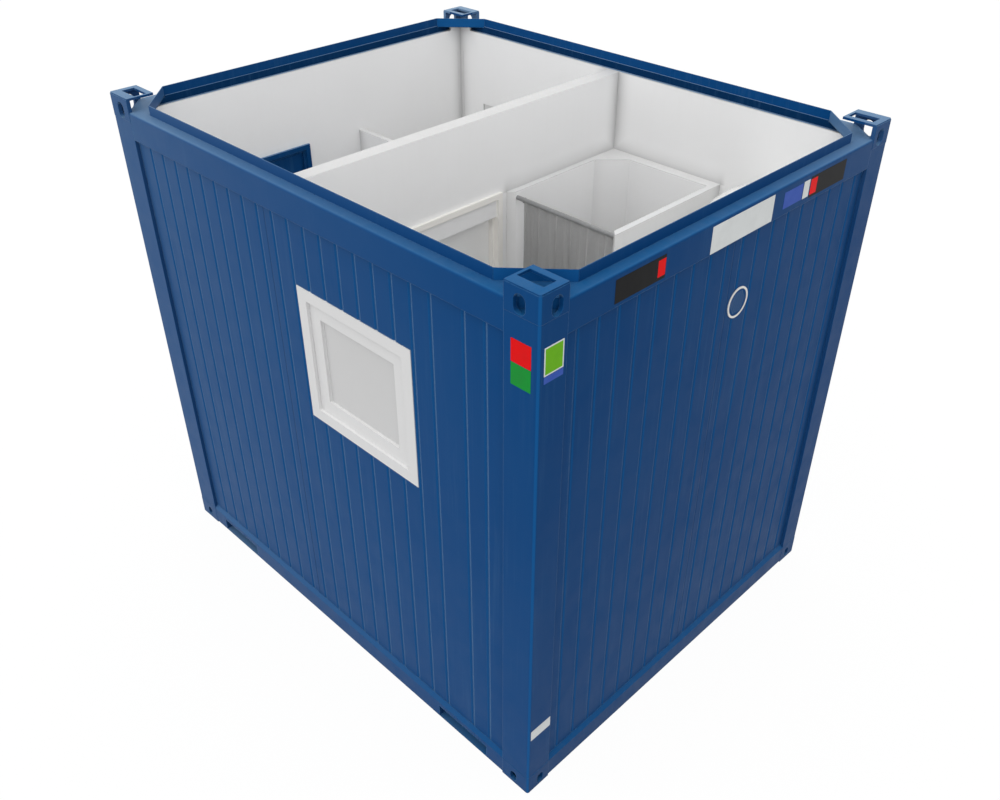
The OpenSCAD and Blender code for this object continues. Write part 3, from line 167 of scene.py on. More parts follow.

# %% [markdown]
# ## Effects that the finishes share
# Paint, plastic and enamel all have the same few faults: large soft changes of tone, a fine film texture, rain
# marks that run down, dust that settles on flat tops, dirt thrown up from the ground, and edges where the finish is
# thin, which also carry painted highlight and shade. Each is one small group. All of them read Object coordinates,
# which are metres here, so a scale of 100 makes features of about a centimetre on every part.

# %% Group: soft drift of tone
drift, given, gives = start_group("Soft drift", {"Scale": 2.0}, {"Value": "Float"})
place = add(drift, "TexCoord").outputs["Object"]
cloud = add(drift, "TexNoise", {"Vector": place, "Scale": given["Scale"], "Detail": 3.0, "Roughness": 0.55})
drift.links.new(span(drift, cloud.outputs[0], 0.3, 0.7), gives["Value"])

# %% Group: film of paint or plastic
film, given, gives = start_group("Film", {"Scale": 400.0}, {"Height": "Float"})
place = add(film, "TexCoord").outputs["Object"]
skin = add(film, "TexNoise", {"Vector": place, "Scale": given["Scale"], "Detail": 2.0, "Roughness": 0.6})
film.links.new(skin.outputs[0], gives["Height"])

# %% Group: rain marks that run down
rain, given, gives = start_group("Rain marks", {"Narrow": 38.0, "Amount": 1.0}, {"Mask": "Float"})
place = add(rain, "TexCoord").outputs["Object"]
run = add(rain, "VectorMath", {0: place, 1: (1.0, 1.0, 0.035)}, operation="MULTIPLY").outputs[0]
fine = add(rain, "TexNoise", {"Vector": run, "Scale": given["Narrow"], "Detail": 4.0, "Roughness": 0.65})
broad = add(rain, "TexNoise", {"Vector": place, "Scale": 1.4, "Detail": 2.0})
marks = calc(rain, span(rain, fine.outputs[0], 0.52, 0.78), span(rain, broad.outputs[0], 0.35, 0.65))
rain.links.new(calc(rain, marks, given["Amount"]), gives["Mask"])

# %% Group: dust on flat tops
dust, given, gives = start_group("Settled dust", {"Scale": 14.0, "Amount": 1.0}, {"Mask": "Float"})
facing = add(dust, "SeparateXYZ", {0: add(dust, "NewGeometry").outputs["Normal"]}).outputs[2]
place = add(dust, "TexCoord").outputs["Object"]
grains = add(dust, "TexNoise", {"Vector": place, "Scale": given["Scale"], "Detail": 6.0, "Roughness": 0.7})
lying = calc(dust, span(dust, facing, 0.7, 0.98), span(dust, grains.outputs[0], 0.35, 0.75))
dust.links.new(calc(dust, lying, given["Amount"]), gives["Mask"])

# %% Group: dirt from the ground
grime, given, gives = start_group("Ground dirt", {"Height": 0.35, "Amount": 1.0}, {"Mask": "Float"})
place = add(grime, "TexCoord").outputs["Object"]
level = add(grime, "SeparateXYZ", {0: place}).outputs[2]
near_ground = span(grime, level, 0.0, given["Height"], 1.0, 0.0)
splash = add(grime, "TexNoise", {"Vector": place, "Scale": 26.0, "Detail": 7.0, "Roughness": 0.72})
thrown = calc(grime, calc(grime, near_ground, near_ground), span(grime, splash.outputs[0], 0.38, 0.7))
grime.links.new(calc(grime, thrown, given["Amount"]), gives["Mask"])

# %% [markdown]
# A folded sheet never has a knife edge. The Bevel node lends each corner a small radius at render time, so it
# catches a thin line of light as on the real frame, and where the rounded normal departs from the flat one lies the
# edge itself, which is where paint wears; its worn colour is lighter, so it is also a painted highlight. Of a
# groove's two slopes one gets a painted highlight and the other painted shade, most of all on the window wall, and
# the undersides of rounded edges get a painted highlight too. The signs of the rounded normal tell them apart.

# %% Group: rounded and worn edges, with painted highlight and shade
edges, given, gives = start_group(
    "Edges", {"Radius": 0.003, "Amount": 1.0},
    {"Mask": "Float", "Pale": "Float", "Deep": "Float", "Normal": "Vector"})
soft = add(edges, "Bevel", {"Radius": given["Radius"]}, samples=4).outputs[0]
flat = add(edges, "NewGeometry").outputs["Normal"]
turned = add(edges, "VectorMath", {0: soft, 1: flat}, operation="DOT_PRODUCT").outputs["Value"]
place = add(edges, "TexCoord").outputs["Object"]
breaks = add(edges, "TexNoise", {"Vector": place, "Scale": 60.0, "Detail": 5.0, "Roughness": 0.7})
thin = calc(edges, span(edges, turned, 0.985, 0.86), span(edges, breaks.outputs[0], 0.36, 0.62))
edges.links.new(calc(edges, thin, given["Amount"]), gives["Mask"])
edges.links.new(soft, gives["Normal"])
leaning = add(edges, "SeparateXYZ", {0: soft}).outputs
lying = add(edges, "SeparateXYZ", {0: flat}).outputs
# Painted highlight on one slope of a groove and under rounded edges, painted shade on the other slope.
across = calc(edges, leaning[0], leaning[1])
pale_side = calc(edges, span(edges, across, 0.05, 0.3), span(edges, lying[0], 0.6, 0.1, 0.35, 1.0))
deep_side = calc(edges, span(edges, across, -0.12, -0.38), span(edges, lying[1], 0.3, -0.3, 0.25, 1.0))
under = calc(edges, span(edges, leaning[2], -0.2, -0.45), span(edges, leaning[2], -0.97, -0.85))
edges.links.new(calc(edges, pale_side, under, "MAXIMUM"), gives["Pale"])
edges.links.new(deep_side, gives["Deep"])

# %% [markdown]
# Each wall is made of two panels that meet flush, on a long wall a little beside its middle. Such a butt joint is
# no edge that wears: all that it shows is a hairline of shade, drawn here on the long walls. So the group gives a
# mask for the line and one that keeps worn edges away from the joint.

# %% Group: butt joints between the panels
long_wall_joint, joint_half = -0.208, 0.0016
unworn_from, unworn_to = 0.013, 0.015
joints, given, gives = start_group("Panel joints", {"Amount": 1.0}, {"Line": "Float", "Clear": "Float"})
place = add(joints, "SeparateXYZ", {0: add(joints, "TexCoord").outputs["Object"]}).outputs
beside = unsigned(joints, calc(joints, place[0], long_wall_joint, "SUBTRACT"))
nearest = calc(joints, beside, unsigned(joints, place[1]), "MINIMUM")
joints.links.new(span(joints, nearest, unworn_from, unworn_to), gives["Clear"])
hairline = span(joints, beside, joint_half, joint_half / 2)
joints.links.new(calc(joints, hairline, given["Amount"]), gives["Line"])

# %% [markdown]
# The paint's tone follows how light falls, as painted light: tops lightest, sides lighter, and the end wall that
# faces +X darkest. A painted sheen pales the walls towards their far ends. Inside the roof frame, the skirts are
# darker.

# %% Group: painted light by facing, and a painted sheen
painted_light_by_facing, given, gives = start_group(
    "Bleached and chalky", {"Chalk": 0.06}, {"Up": "Float", "Side": "Float", "Chalk": "Float", "Skirt": "Float"})
facing = add(painted_light_by_facing, "SeparateXYZ", {0: add(painted_light_by_facing, "NewGeometry").outputs["Normal"]}).outputs
# Up and Side give tops and the sides other than the +X end wall their lighter tones, as painted light.
painted_light_by_facing.links.new(span(painted_light_by_facing, facing[2], 0.5, 0.95), gives["Up"])
painted_light_by_facing.links.new(span(painted_light_by_facing, facing[0], 0.75, 0.35), gives["Side"])
place = add(painted_light_by_facing, "SeparateXYZ", {0: add(painted_light_by_facing, "TexCoord").outputs["Object"]}).outputs
upstand_x, upstand_y, skirt_foot, skirt_top, blend = 1.4330, 1.1560, 2.680, 2.7330, 0.001
inward_x = span(painted_light_by_facing, unsigned(painted_light_by_facing, place[0]), upstand_x + blend, upstand_x)
inward_y = span(painted_light_by_facing, unsigned(painted_light_by_facing, place[1]), upstand_y + blend, upstand_y)
inside = calc(painted_light_by_facing, calc(painted_light_by_facing, inward_x, inward_y), span(painted_light_by_facing, facing[2], 0.95, 0.5))
# A painted sheen: paler towards -X and +Y, high up, on tops and away from the end wall; not inside the roof frame.
along = calc(painted_light_by_facing, span(painted_light_by_facing, place[0], 1.5, -1.5), span(painted_light_by_facing, place[1], -1.2, 1.2, 0.0, 0.42), "ADD")
high = calc(painted_light_by_facing, span(painted_light_by_facing, place[2], 1.4, 2.7), span(painted_light_by_facing, place[0], 0.3, -1.5))
along = calc(painted_light_by_facing, along, span(painted_light_by_facing, high, 0.0, 1.0, 1.0, 1.55))
far_end = calc(painted_light_by_facing, span(painted_light_by_facing, place[2], 2.3, 2.75), span(painted_light_by_facing, place[1], 0.1, 1.2))
along = calc(painted_light_by_facing, along, span(painted_light_by_facing, far_end, 0.0, 1.0, 1.0, 3.2))
along = calc(painted_light_by_facing, along, span(painted_light_by_facing, facing[2], 0.5, 0.95, 1.0, 3.6))
along = calc(painted_light_by_facing, along, span(painted_light_by_facing, facing[0], 0.75, 0.35, 1.0, 2.1))
outside = calc(painted_light_by_facing, along, calc(painted_light_by_facing, 1.0, inside, "SUBTRACT"))
painted_light_by_facing.links.new(calc(painted_light_by_facing, outside, given["Chalk"]), gives["Chalk"])
below_top = span(painted_light_by_facing, place[2], skirt_top + 0.6 * blend, skirt_top)
band = calc(painted_light_by_facing, below_top, span(painted_light_by_facing, place[2], skirt_foot, skirt_foot + blend))
painted_light_by_facing.links.new(calc(painted_light_by_facing, inside, band), gives["Skirt"])

# %% [markdown]
# Walls that meet at a corner shade each other, so the colour darkens there as painted shade. The shade follows the
# places of the rooms' walls. A wall that faces along X darkens towards the two long walls, and the other way round.
# Above the shower cabin the linings get painted shade towards its top edge.

# %% Group: shade in the rooms' corners
corners, given, gives = start_group("Corner shade", {"Reach": 0.11, "Amount": 1.0}, {"Mask": "Float"})
place = add(corners, "SeparateXYZ", {0: add(corners, "TexCoord").outputs["Object"]}).outputs
facing = add(corners, "SeparateXYZ", {0: add(corners, "NewGeometry").outputs["Normal"]}).outputs
room_half_x, room_half_y, falloff = 1.3975, 1.1205, 2.2
partition_x, partition_half = -0.128, 0.044
to_long_wall = calc(corners, room_half_y, unsigned(corners, place[1]), "SUBTRACT")
to_end_wall = calc(corners, room_half_x, unsigned(corners, place[0]), "SUBTRACT")
from_middle = unsigned(corners, calc(corners, place[0], -partition_x, "ADD"))
to_partition = calc(corners, from_middle, partition_half, "SUBTRACT")
to_cross_wall = calc(corners, to_end_wall, to_partition, "MINIMUM")
shades = []
for distance, along in ((to_long_wall, facing[0]), (to_cross_wall, facing[1])):
    near = span(corners, distance, given["Reach"], 0.0)
    turned = span(corners, unsigned(corners, along), 0.5, 0.9)
    shades.append(calc(corners, calc(corners, near, falloff, "POWER"), turned))
cabin_low, cabin_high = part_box("shower_walls")
side_reach, top_reach = 0.03, 0.11
past_partition = span(corners, place[0], -0.11, -0.10)
before_side = span(corners, place[0], cabin_high[0] + side_reach, cabin_high[0])
behind_front = span(corners, place[1], cabin_low[1] - side_reach, cabin_low[1])
around = calc(corners, calc(corners, past_partition, before_side), behind_front)
fading_up = span(corners, place[2], cabin_high[2] + top_reach, cabin_high[2])
from_top = span(corners, place[2], cabin_high[2] - 0.004, cabin_high[2] - 0.001)
above = calc(corners, calc(corners, fading_up, from_top), falloff, "POWER")
upright = span(corners, facing[2], 0.95, 0.5)
shades.append(calc(corners, above, calc(corners, around, upright)))
deepest = calc(corners, calc(corners, shades[0], shades[1], "MAXIMUM"), shades[2], "MAXIMUM")
corners.links.new(calc(corners, deepest, given["Amount"]), gives["Mask"])

# %% [markdown]
# Zinc cools in crystals, and floor vinyl is pressed from chips. Both are cells that touch, so one Voronoi texture
# serves for the two. Bright metal shows fine marks from wiping instead: noise that is drawn out along one way.

# %% Group: flakes, for zinc crystals and floor chips
flakes, given, gives = start_group("Flakes", {"Scale": 60.0}, {"Value": "Float", "Line": "Float"})
place = add(flakes, "TexCoord").outputs["Object"]
cell = add(flakes, "TexVoronoi", {"Vector": place, "Scale": given["Scale"]})
flakes.links.new(add(flakes, "SeparateColor", {0: cell.outputs["Color"]}).outputs[0], gives["Value"])
flakes.links.new(cell.outputs["Distance"], gives["Line"])

# %% Group: brush strokes and wipe marks on bright metal
strokes, given, gives = start_group("Wipe marks", {"Scale": 90.0}, {"Value": "Float"})
place = add(strokes, "TexCoord").outputs["Object"]
drawn = add(strokes, "VectorMath", {0: place, 1: (1.0, 0.18, 0.5)}, operation="MULTIPLY").outputs[0]
wiped = add(strokes, "TexNoise", {"Vector": drawn, "Scale": given["Scale"], "Detail": 4.0, "Roughness": 0.6})
strokes.links.new(span(strokes, wiped.outputs[0], 0.3, 0.7), gives["Value"])
print("effect groups:", [g.name for g in bpy.data.node_groups])

# %% [markdown]
# ## Starting a finish
# Every finish is one Principled shader. What is the same all over is set on its sockets, and what changes over the
# surface is linked. `bump` stacks a film texture on a rounded normal, because a bump alone would keep hard corners.

# %% Material helpers
finishes = {}


def start_finish(name, roughness=0.5, **sockets):
    made = bpy.data.materials.new(name)
    made.use_nodes = True
    tree = made.node_tree
    shader = tree.nodes["Principled BSDF"]
    shader.inputs["Roughness"].default_value = roughness
    for label, value in sockets.items():
        shader.inputs[label.replace("_", " ")].default_value = value
    finishes[name] = made
    print("finish:", name)
    return tree, shader.inputs


def bump(tree, height, strength, distance, normal=None):
    made = add(tree, "Bump", {"Height": height, "Strength": strength, "Distance": distance})
    if normal is not None:
        tree.links.new(normal, made.inputs["Normal"])
    return made.outputs[0]


def painted(name, colour, lit_side_colour, top, roughness, film_scale, edge_light, wear_and_highlight=0.35, radius=0.004,
            pale_slope=0.55, jointed=False):
    """Steel paint: painted light by facing and sheen, rain, dust, ground dirt, worn lit edges, orange peel."""
    tree, shader = start_finish(name, roughness, Specular_IOR_Level=0.03)
    edge = use(tree, edges, Radius=radius, Amount=wear_and_highlight)
    facing_light = use(tree, painted_light_by_facing)
    # Painted light: the end wall keeps the darkest tone, other sides get a lighter one, tops the lightest.
    shade = mixed(tree, facing_light["Up"], mixed(tree, facing_light["Side"], colour, lit_side_colour), top)
    shade = mixed(tree, span(tree, use(tree, drift, Scale=1.1)["Value"], 0, 1, 0, 0.06), shade, tone(60, 110, 160))
    # A painted sheen; then the skirts inside the roof frame in a darker blue.
    shade = mixed(tree, facing_light["Chalk"], shade, tone(122, 152, 182))
    shade = mixed(tree, facing_light["Skirt"], shade, tone(6, 48, 88))
    shade = mixed(tree, use(tree, rain, Amount=0.25)["Mask"], shade, tone(70, 108, 148))
    shade = mixed(tree, use(tree, dust, Amount=0.07)["Mask"], shade, tone(150, 156, 160))
    shade = mixed(tree, use(tree, grime, Amount=0.15)["Mask"], shade, tone(92, 96, 98))
    worn_and_lit, deep, lit = edge["Mask"], edge["Deep"], edge["Pale"]
    if jointed:
        butt = use(tree, joints, Amount=0.7)
        worn_and_lit, deep, lit = (calc(tree, mask, butt["Clear"]) for mask in (worn_and_lit, deep, lit))
        shade = mixed(tree, butt["Line"], shade, tone(6, 40, 80))
    # Worn edges, lighter also as a painted highlight; then painted shade and highlight on the slopes.
    shade = mixed(tree, worn_and_lit, shade, edge_light)
    shade = mixed(tree, calc(tree, deep, 0.8), shade, tone(24, 92, 154))
    shade = mixed(tree, calc(tree, lit, pale_slope), shade, tone(104, 140, 176))
    tree.links.new(shade, shader["Base Color"])
    gloss = span(tree, use(tree, drift, Scale=9.0)["Value"], 0.0, 1.0, roughness - 0.06, roughness + 0.08)
    tree.links.new(gloss, shader["Roughness"])
    peel = use(tree, film, Scale=film_scale)["Height"]
    tree.links.new(bump(tree, peel, 0.12, 0.0006, edge["Normal"]), shader["Normal"])


print("helpers for finishes ready")

# %% [markdown]
# ## Outside finishes
# The frame is sprayed after welding: a slightly thicker, glossier film with an orange peel. The wall panels are
# coil-coated sheet, flatter and finer. They are made by one recipe with different values.

# %% Blue paint of the frame and of the panels
# The three tones are painted light: the end wall's, the other sides', and the tops'.
blues = tone(8, 61, 113), tone(9, 69, 126), tone(19, 89, 144)
painted("frame_blue", *blues, 0.36, 420.0, tone(96, 140, 184))
painted("panel_blue", *blues, 0.38, 900.0, tone(70, 118, 164), radius=0.011, wear_and_highlight=0.12, pale_slope=0.8,
        jointed=True)
painted("vent_blue", *blues, 0.5, 1500.0, tone(96, 140, 184), radius=0.0006, wear_and_highlight=0.4)

# %% Zinc on what lies under the floor and on the hinges
tree, shader = start_finish("galvanised", 0.42, Metallic=0.9)
crystals = use(tree, flakes, Scale=70.0)
zinc = mixed(tree, crystals["Value"], tone(150, 154, 158), tone(182, 185, 188))
zinc = mixed(tree, use(tree, drift, Scale=5.0)["Value"], zinc, tone(140, 143, 146))
tree.links.new(zinc, shader["Base Color"])
tree.links.new(span(tree, crystals["Value"], 0, 1, 0.32, 0.55), shader["Roughness"])
rounded = use(tree, edges, Radius=0.001)["Normal"]
tree.links.new(bump(tree, crystals["Line"], 0.1, 0.0004, rounded), shader["Normal"])
print("outside finishes:", sorted(finishes))

# %% [markdown]
# ## Inside finishes
# Linings are coated boards, doors are laminated, and the shower cabin is moulded plastic with a gel coat. They are
# all near white, so what tells them apart is gloss, grain and the way that their edges darken.

# %% A recipe for pale sheet and moulded plastic
def pale(name, colour, second, roughness, film_scale, film_depth, radius, coat=0.0, dirt=0.5, top=None,
         shaded=0.0):
    """Pale sheet or plastic: two tones, painted light on tops, painted corner shade, dust, rain marks, thin edges.
    """
    tree, shader = start_finish(name, roughness, Coat_Weight=coat, Coat_Roughness=0.12)
    edge = use(tree, edges, Radius=radius, Amount=0.1)
    shade = mixed(tree, use(tree, drift, Scale=1.7)["Value"], colour, second)
    # Tops get their own tone as painted light.
    if top:
        shade = mixed(tree, use(tree, painted_light_by_facing)["Up"], shade, top)
    # Painted shade in the rooms' corners and above the cabin.
    if shaded:
        shade = mixed(tree, use(tree, corners, Amount=shaded)["Mask"], shade, tone(150, 150, 150))
    shade = mixed(tree, use(tree, dust, Amount=0.3 * dirt)["Mask"], shade, tone(190, 188, 184))
    shade = mixed(tree, use(tree, rain, Narrow=55.0, Amount=0.08 * dirt)["Mask"], shade, tone(196, 192, 182))
    shade = mixed(tree, edge["Mask"], shade, tone(206, 203, 196))
    tree.links.new(shade, shader["Base Color"])
    gloss = span(tree, use(tree, drift, Scale=7.0)["Value"], 0.0, 1.0, roughness - 0.05, roughness + 0.07)
    tree.links.new(gloss, shader["Roughness"])
    skin = use(tree, film, Scale=film_scale)["Height"]
    tree.links.new(bump(tree, skin, 0.15, film_depth, edge["Normal"]), shader["Normal"])


print("recipe for pale surfaces ready")

# %% Linings, doors, windows, cabin, fittings
# The top tones are painted light: darker on linings, doors and the cabin, lighter on window frames.
pale("lining_cream", tone(249, 249, 249), tone(247, 247, 247), 0.5, 700.0, 0.0003, 0.0015, top=tone(220, 220, 220),
     shaded=0.55)
pale("door_beige", tone(253, 251, 247), tone(252, 249, 243), 0.38, 500.0, 0.0003, 0.004, top=tone(252, 250, 245))
pale("door_white", tone(247, 247, 246), tone(245, 245, 244), 0.4, 650.0, 0.0003, 0.002)
pale("window_white", tone(226, 226, 226), tone(225, 225, 225), 0.4, 1100.0, 0.0002, 0.002, top=tone(240, 240, 240))
pale("vent_white", tone(236, 232, 227), tone(228, 224, 218), 0.38, 900.0, 0.0002, 0.001)
pale("cabin_white", tone(253, 253, 253), tone(252, 252, 252), 0.2, 60.0, 0.0008, 0.004, coat=0.1,
     top=tone(232, 232, 232), shaded=0.5)
pale("ceramic", tone(240, 240, 238), tone(234, 234, 231), 0.08, 30.0, 0.0006, 0.005, coat=0.8, dirt=0.2)
pale("seat_plastic", tone(236, 236, 234), tone(230, 230, 227), 0.25, 350.0, 0.0002, 0.003, coat=0.3, dirt=0.2)
pale("heater_enamel", tone(238, 238, 236), tone(234, 234, 232), 0.22, 260.0, 0.0003, 0.003, coat=0.4, dirt=0.4)
print("pale finishes ready:", len(finishes))

# %% [markdown]
# What is left inside has one thing of its own to draw: the floor has chips, the panes are frosted, taps and levers
# are chromed, and small plastic pieces are dull. So these materials are built singly, from the same groups.

# %% Floor vinyl with chips
tree, shader = start_finish("floor_vinyl", 0.45)
chips = use(tree, flakes, Scale=420.0)["Value"]
ground = mixed(tree, span(tree, chips, 0.45, 0.55), tone(128, 131, 134), tone(150, 153, 156))
ground = mixed(tree, span(tree, chips, 0.9, 0.92), ground, tone(84, 88, 92))
ground = mixed(tree, span(tree, use(tree, drift, Scale=3.0)["Value"], 0, 1, 0, 0.25), ground, tone(112, 110, 105))
tree.links.new(ground, shader["Base Color"])
tree.links.new(bump(tree, use(tree, film, Scale=600.0)["Height"], 0.2, 0.0004), shader["Normal"])

# %% Frosted pane
tree, shader = start_finish("window_pane", 0.32, Coat_Weight=0.1, Coat_Roughness=0.05)
frost = mixed(tree, use(tree, drift, Scale=2.2)["Value"], tone(205, 205, 205), tone(208, 208, 208))
tree.links.new(frost, shader["Base Color"])
tree.links.new(bump(tree, use(tree, film, Scale=850.0)["Height"], 0.35, 0.0005), shader["Normal"])

# %% Chrome
tree, shader = start_finish("chrome", 0.14, Metallic=1.0)
wipes = use(tree, strokes)["Value"]
tree.links.new(mixed(tree, wipes, tone(196, 198, 201), tone(214, 215, 217)), shader["Base Color"])
tree.links.new(span(tree, wipes, 0, 1, 0.1, 0.24), shader["Roughness"])
tree.links.new(bump(tree, wipes, 0.04, 0.0002, use(tree, edges, Radius=0.0008)["Normal"]), shader["Normal"])

# %% Dull plastics of the dial, the rod, the gaskets and the tape
def dull(name, colour, second, roughness, scale, depth):
    """A dull plastic with a grain of its own scale and depth."""
    tree, shader = start_finish(name, roughness)
    tree.links.new(mixed(tree, use(tree, drift, Scale=24.0)["Value"], colour, second), shader["Base Color"])
    skin = use(tree, film, Scale=scale)["Height"]
    tree.links.new(bump(tree, skin, 0.4, depth, use(tree, edges, Radius=0.0008)["Normal"]), shader["Normal"])


dull("dark_plastic", tone(44, 45, 48), tone(54, 55, 58), 0.45, 1600.0, 0.0003)
dull("rod_grey", tone(134, 135, 136), tone(144, 145, 146), 0.42, 700.0, 0.0002)
dull("gasket_pale", tone(226, 226, 226), tone(220, 220, 220), 0.6, 900.0, 0.0002)
dull("curtain_tape", tone(160, 160, 160), tone(150, 150, 150), 0.7, 1200.0, 0.0003)

# %% Threads of the insect screen
thread_waves = 190.0
tree, shader = start_finish("screen_mesh", 0.5, Specular_IOR_Level=0.2)
place = add(tree, "TexCoord").outputs["Object"]
threads_y = add(tree, "TexWave", {"Vector": place, "Scale": thread_waves}, bands_direction="Y").outputs["Fac"]
threads_z = add(tree, "TexWave", {"Vector": place, "Scale": thread_waves}, bands_direction="Z").outputs["Fac"]
woven = calc(tree, threads_y, threads_z, "MAXIMUM")
tree.links.new(mixed(tree, woven, tone(52, 84, 120), tone(126, 146, 170)), shader["Base Color"])
tree.links.new(bump(tree, woven, 0.3, 0.0003), shader["Normal"])
print("finishes so far:", len(finishes))

# %% [markdown]
# ## Cloth of the curtain
# A shower curtain is a thin woven polyester. Warp and weft are far too fine for the mesh, so the weave is drawn by
# two crossed waves in the cloth's own UV map, in metres of cloth. On UVs the threads follow the folds, where Object
# coordinates would cut straight through them.

# %% Curtain cloth
tree, shader = start_finish("curtain_cloth", 0.72, Sheen_Weight=0.35, Sheen_Roughness=0.4)
threads = add(tree, "UVMap", uv_map="cloth").outputs[0]
warp = add(tree, "TexWave", {"Vector": threads, "Scale": thread_waves}, bands_direction="X").outputs["Fac"]
weft = add(tree, "TexWave", {"Vector": threads, "Scale": thread_waves}, bands_direction="Y").outputs["Fac"]
weave = calc(tree, warp, weft)
yarn = add(tree, "TexNoise", {"Vector": threads, "Scale": 34.0, "Detail": 5.0}).outputs[0]
cloth = mixed(tree, weave, tone(166, 166, 166), tone(180, 180, 180))
cloth = mixed(tree, span(tree, yarn, 0.35, 0.65, 0.0, 0.3), cloth, tone(162, 162, 162))
tree.links.new(cloth, shader["Base Color"])
tree.links.new(bump(tree, weave, 0.3, 0.0004), shader["Normal"])

# %% [markdown]
# Plates and labels are coloured film. It is smooth and even in tone, so all that it needs is a little fading in
# patches. One recipe makes them all.

# %% Flat colours of the plates and labels
def vinyl(name, colour, second):
    """Coloured film: an even tone that has faded a little in patches, under a smooth surface."""
    tree, shader = start_finish(name, 0.35, Specular_IOR_Level=0.04)
    tree.links.new(mixed(tree, use(tree, drift, Scale=13.0)["Value"], colour, second), shader["Base Color"])
    tree.links.new(bump(tree, use(tree, film, Scale=500.0)["Height"], 0.1, 0.0003), shader["Normal"])


for name, colour, second in (
    ("vinyl_black", (27, 27, 28), (32, 32, 33)),
    ("vinyl_red", (236, 18, 22), (226, 24, 26)),
    ("vinyl_white", (222, 225, 225), (214, 217, 217)),
    ("vinyl_blue", (52, 82, 168), (62, 92, 176)),
    ("vinyl_green", (26, 152, 56), (34, 142, 58)),
    ("vinyl_lime", (112, 182, 34), (104, 174, 32)),
):
    vinyl(name, tone(*colour), tone(*second))
print("all finishes:", len(finishes))

# %% [markdown]
# ## Finishes onto the CAD parts
# The record groups the parts by the material of the real thing. Here each part gets the finish of its group. Its
# mesh is left alone.

# %% Dress the CAD parts
groups = {
    "frame_blue": "floor_rails_long floor_rails_short fork_tunnels bottom_castings corner_posts roof_rails_long "
    "roof_rails_short gutter_corners top_castings outer_door_frame outer_door_leaf",
    "panel_blue": "plain_panels window_panels vent_panel door_panel",
    "galvanised": "floor_cross_members underfloor_sheets door_hinge_pins",
    "lining_cream": "long_wall_linings end_wall_linings corner_trims partition cubicle_wall",
    "floor_vinyl": "floor_deck",
    "door_beige": "inner_door_frame",
    "door_white": "inner_door_leaf wc_door_leaf",
    "window_white": "window_frames front_sash back_sash front_window_handle back_window_handle",
    "window_pane": "front_pane back_pane",
    "vent_white": "vent_ring",
    "vent_blue": "vent_grille",
    "cabin_white": "shower_tray shower_walls",
    "curtain_cloth": "shower_curtain curtain_edge",
    "rod_grey": "curtain_rod",
    "chrome": "shower_valve shower_button shower_pipe flush_button basin_tap tap_button basin_trap "
    "water_pipes outer_door_lever inner_door_lever wc_door_lever",
    "ceramic": "toilet_pan toilet_cistern washbasin",
    "seat_plastic": "toilet_seat toilet_lid",
    "heater_enamel": "water_heater",
    "dark_plastic": "heater_dial",
}
for finish, names in groups.items():
    for name in names.split():
        parts[name].data.materials.clear()
        parts[name].data.materials.append(finishes[finish])
print("dressed", sum(len(n.split()) for n in groups.values()), "of", len(parts), "parts")

# %% [markdown]
# ## Helpers for modelling
# Modelling works as by hand: a primitive, edit mode, operators, modifiers. An operator acts on everything that is
# selected, so each piece starts from an empty selection. When a piece is done, its place goes into its mesh and it
# rides on the body that carries it.

# %% Modelling helpers
mesh_op, object_op = bpy.ops.mesh, bpy.ops.object


def begin(primitive, **values):
    """Adds a primitive with nothing else selected."""
    object_op.select_all(action="DESELECT")
    getattr(mesh_op, "primitive_" + primitive + "_add")(**values)
    return bpy.context.object


def choose(piece):
    """Selects one piece alone and makes it the active one."""
    object_op.select_all(action="DESELECT")
    piece.select_set(True)
    bpy.context.view_layer.objects.active = piece


def apply_place(piece):
    """Moves a piece's place, turn and scale into its mesh."""
    choose(piece)
    object_op.transform_apply(location=True, rotation=True, scale=True)


def edit(piece):
    """Opens a piece in edit mode with nothing selected."""
    choose(piece)
    object_op.mode_set(mode="EDIT")
    mesh_op.select_all(action="DESELECT")


def leave():
    object_op.mode_set(mode="OBJECT")


def pick_faces(piece, wanted):
    """In edit mode, selects the faces whose middle and normal pass a test."""
    object_op.mode_set(mode="OBJECT")
    for face in piece.data.polygons:
        face.select = bool(wanted(face.center, face.normal))
    print(piece.name, "faces picked:", sum(face.select for face in piece.data.polygons))
    object_op.mode_set(mode="EDIT")


def modify(piece, kind, **values):
    """Adds a modifier and applies it."""
    made = piece.modifiers.new(kind.lower(), kind)
    for name, value in values.items():
        setattr(made, name, value)
    bpy.context.view_layer.objects.active = piece
    object_op.modifier_apply(modifier=made.name)


def join(pieces, name):
    """Makes one piece of several."""
    object_op.select_all(action="DESELECT")
    for piece in pieces:
        piece.select_set(True)
    bpy.context.view_layer.objects.active = pieces[0]
    object_op.join()
    pieces[0].name = name
    return pieces[0]


def finish_piece(piece, name, body, finish, smooth=None):
    """Names a piece, gives it its finish and the body that it rides on."""
    piece.name = name
    piece.data.name = name
    if smooth is not None:
        choose(piece)
        object_op.shade_smooth_by_angle(angle=math.radians(smooth))
    piece.data.materials.clear()
    piece.data.materials.append(finishes[finish])
    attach(piece, body)
    print(name, len(piece.data.polygons), "faces, rides on", body)
    return piece


print("modelling helpers ready")

# %% [markdown]
# ## The curtain's rod
# The rod is a grey tube with a cup at each end that clamps it between the cabin's walls. A cylinder is cut across
# near its ends, the two short stretches are extruded and widened to make the cups, and the edges get a small bevel.

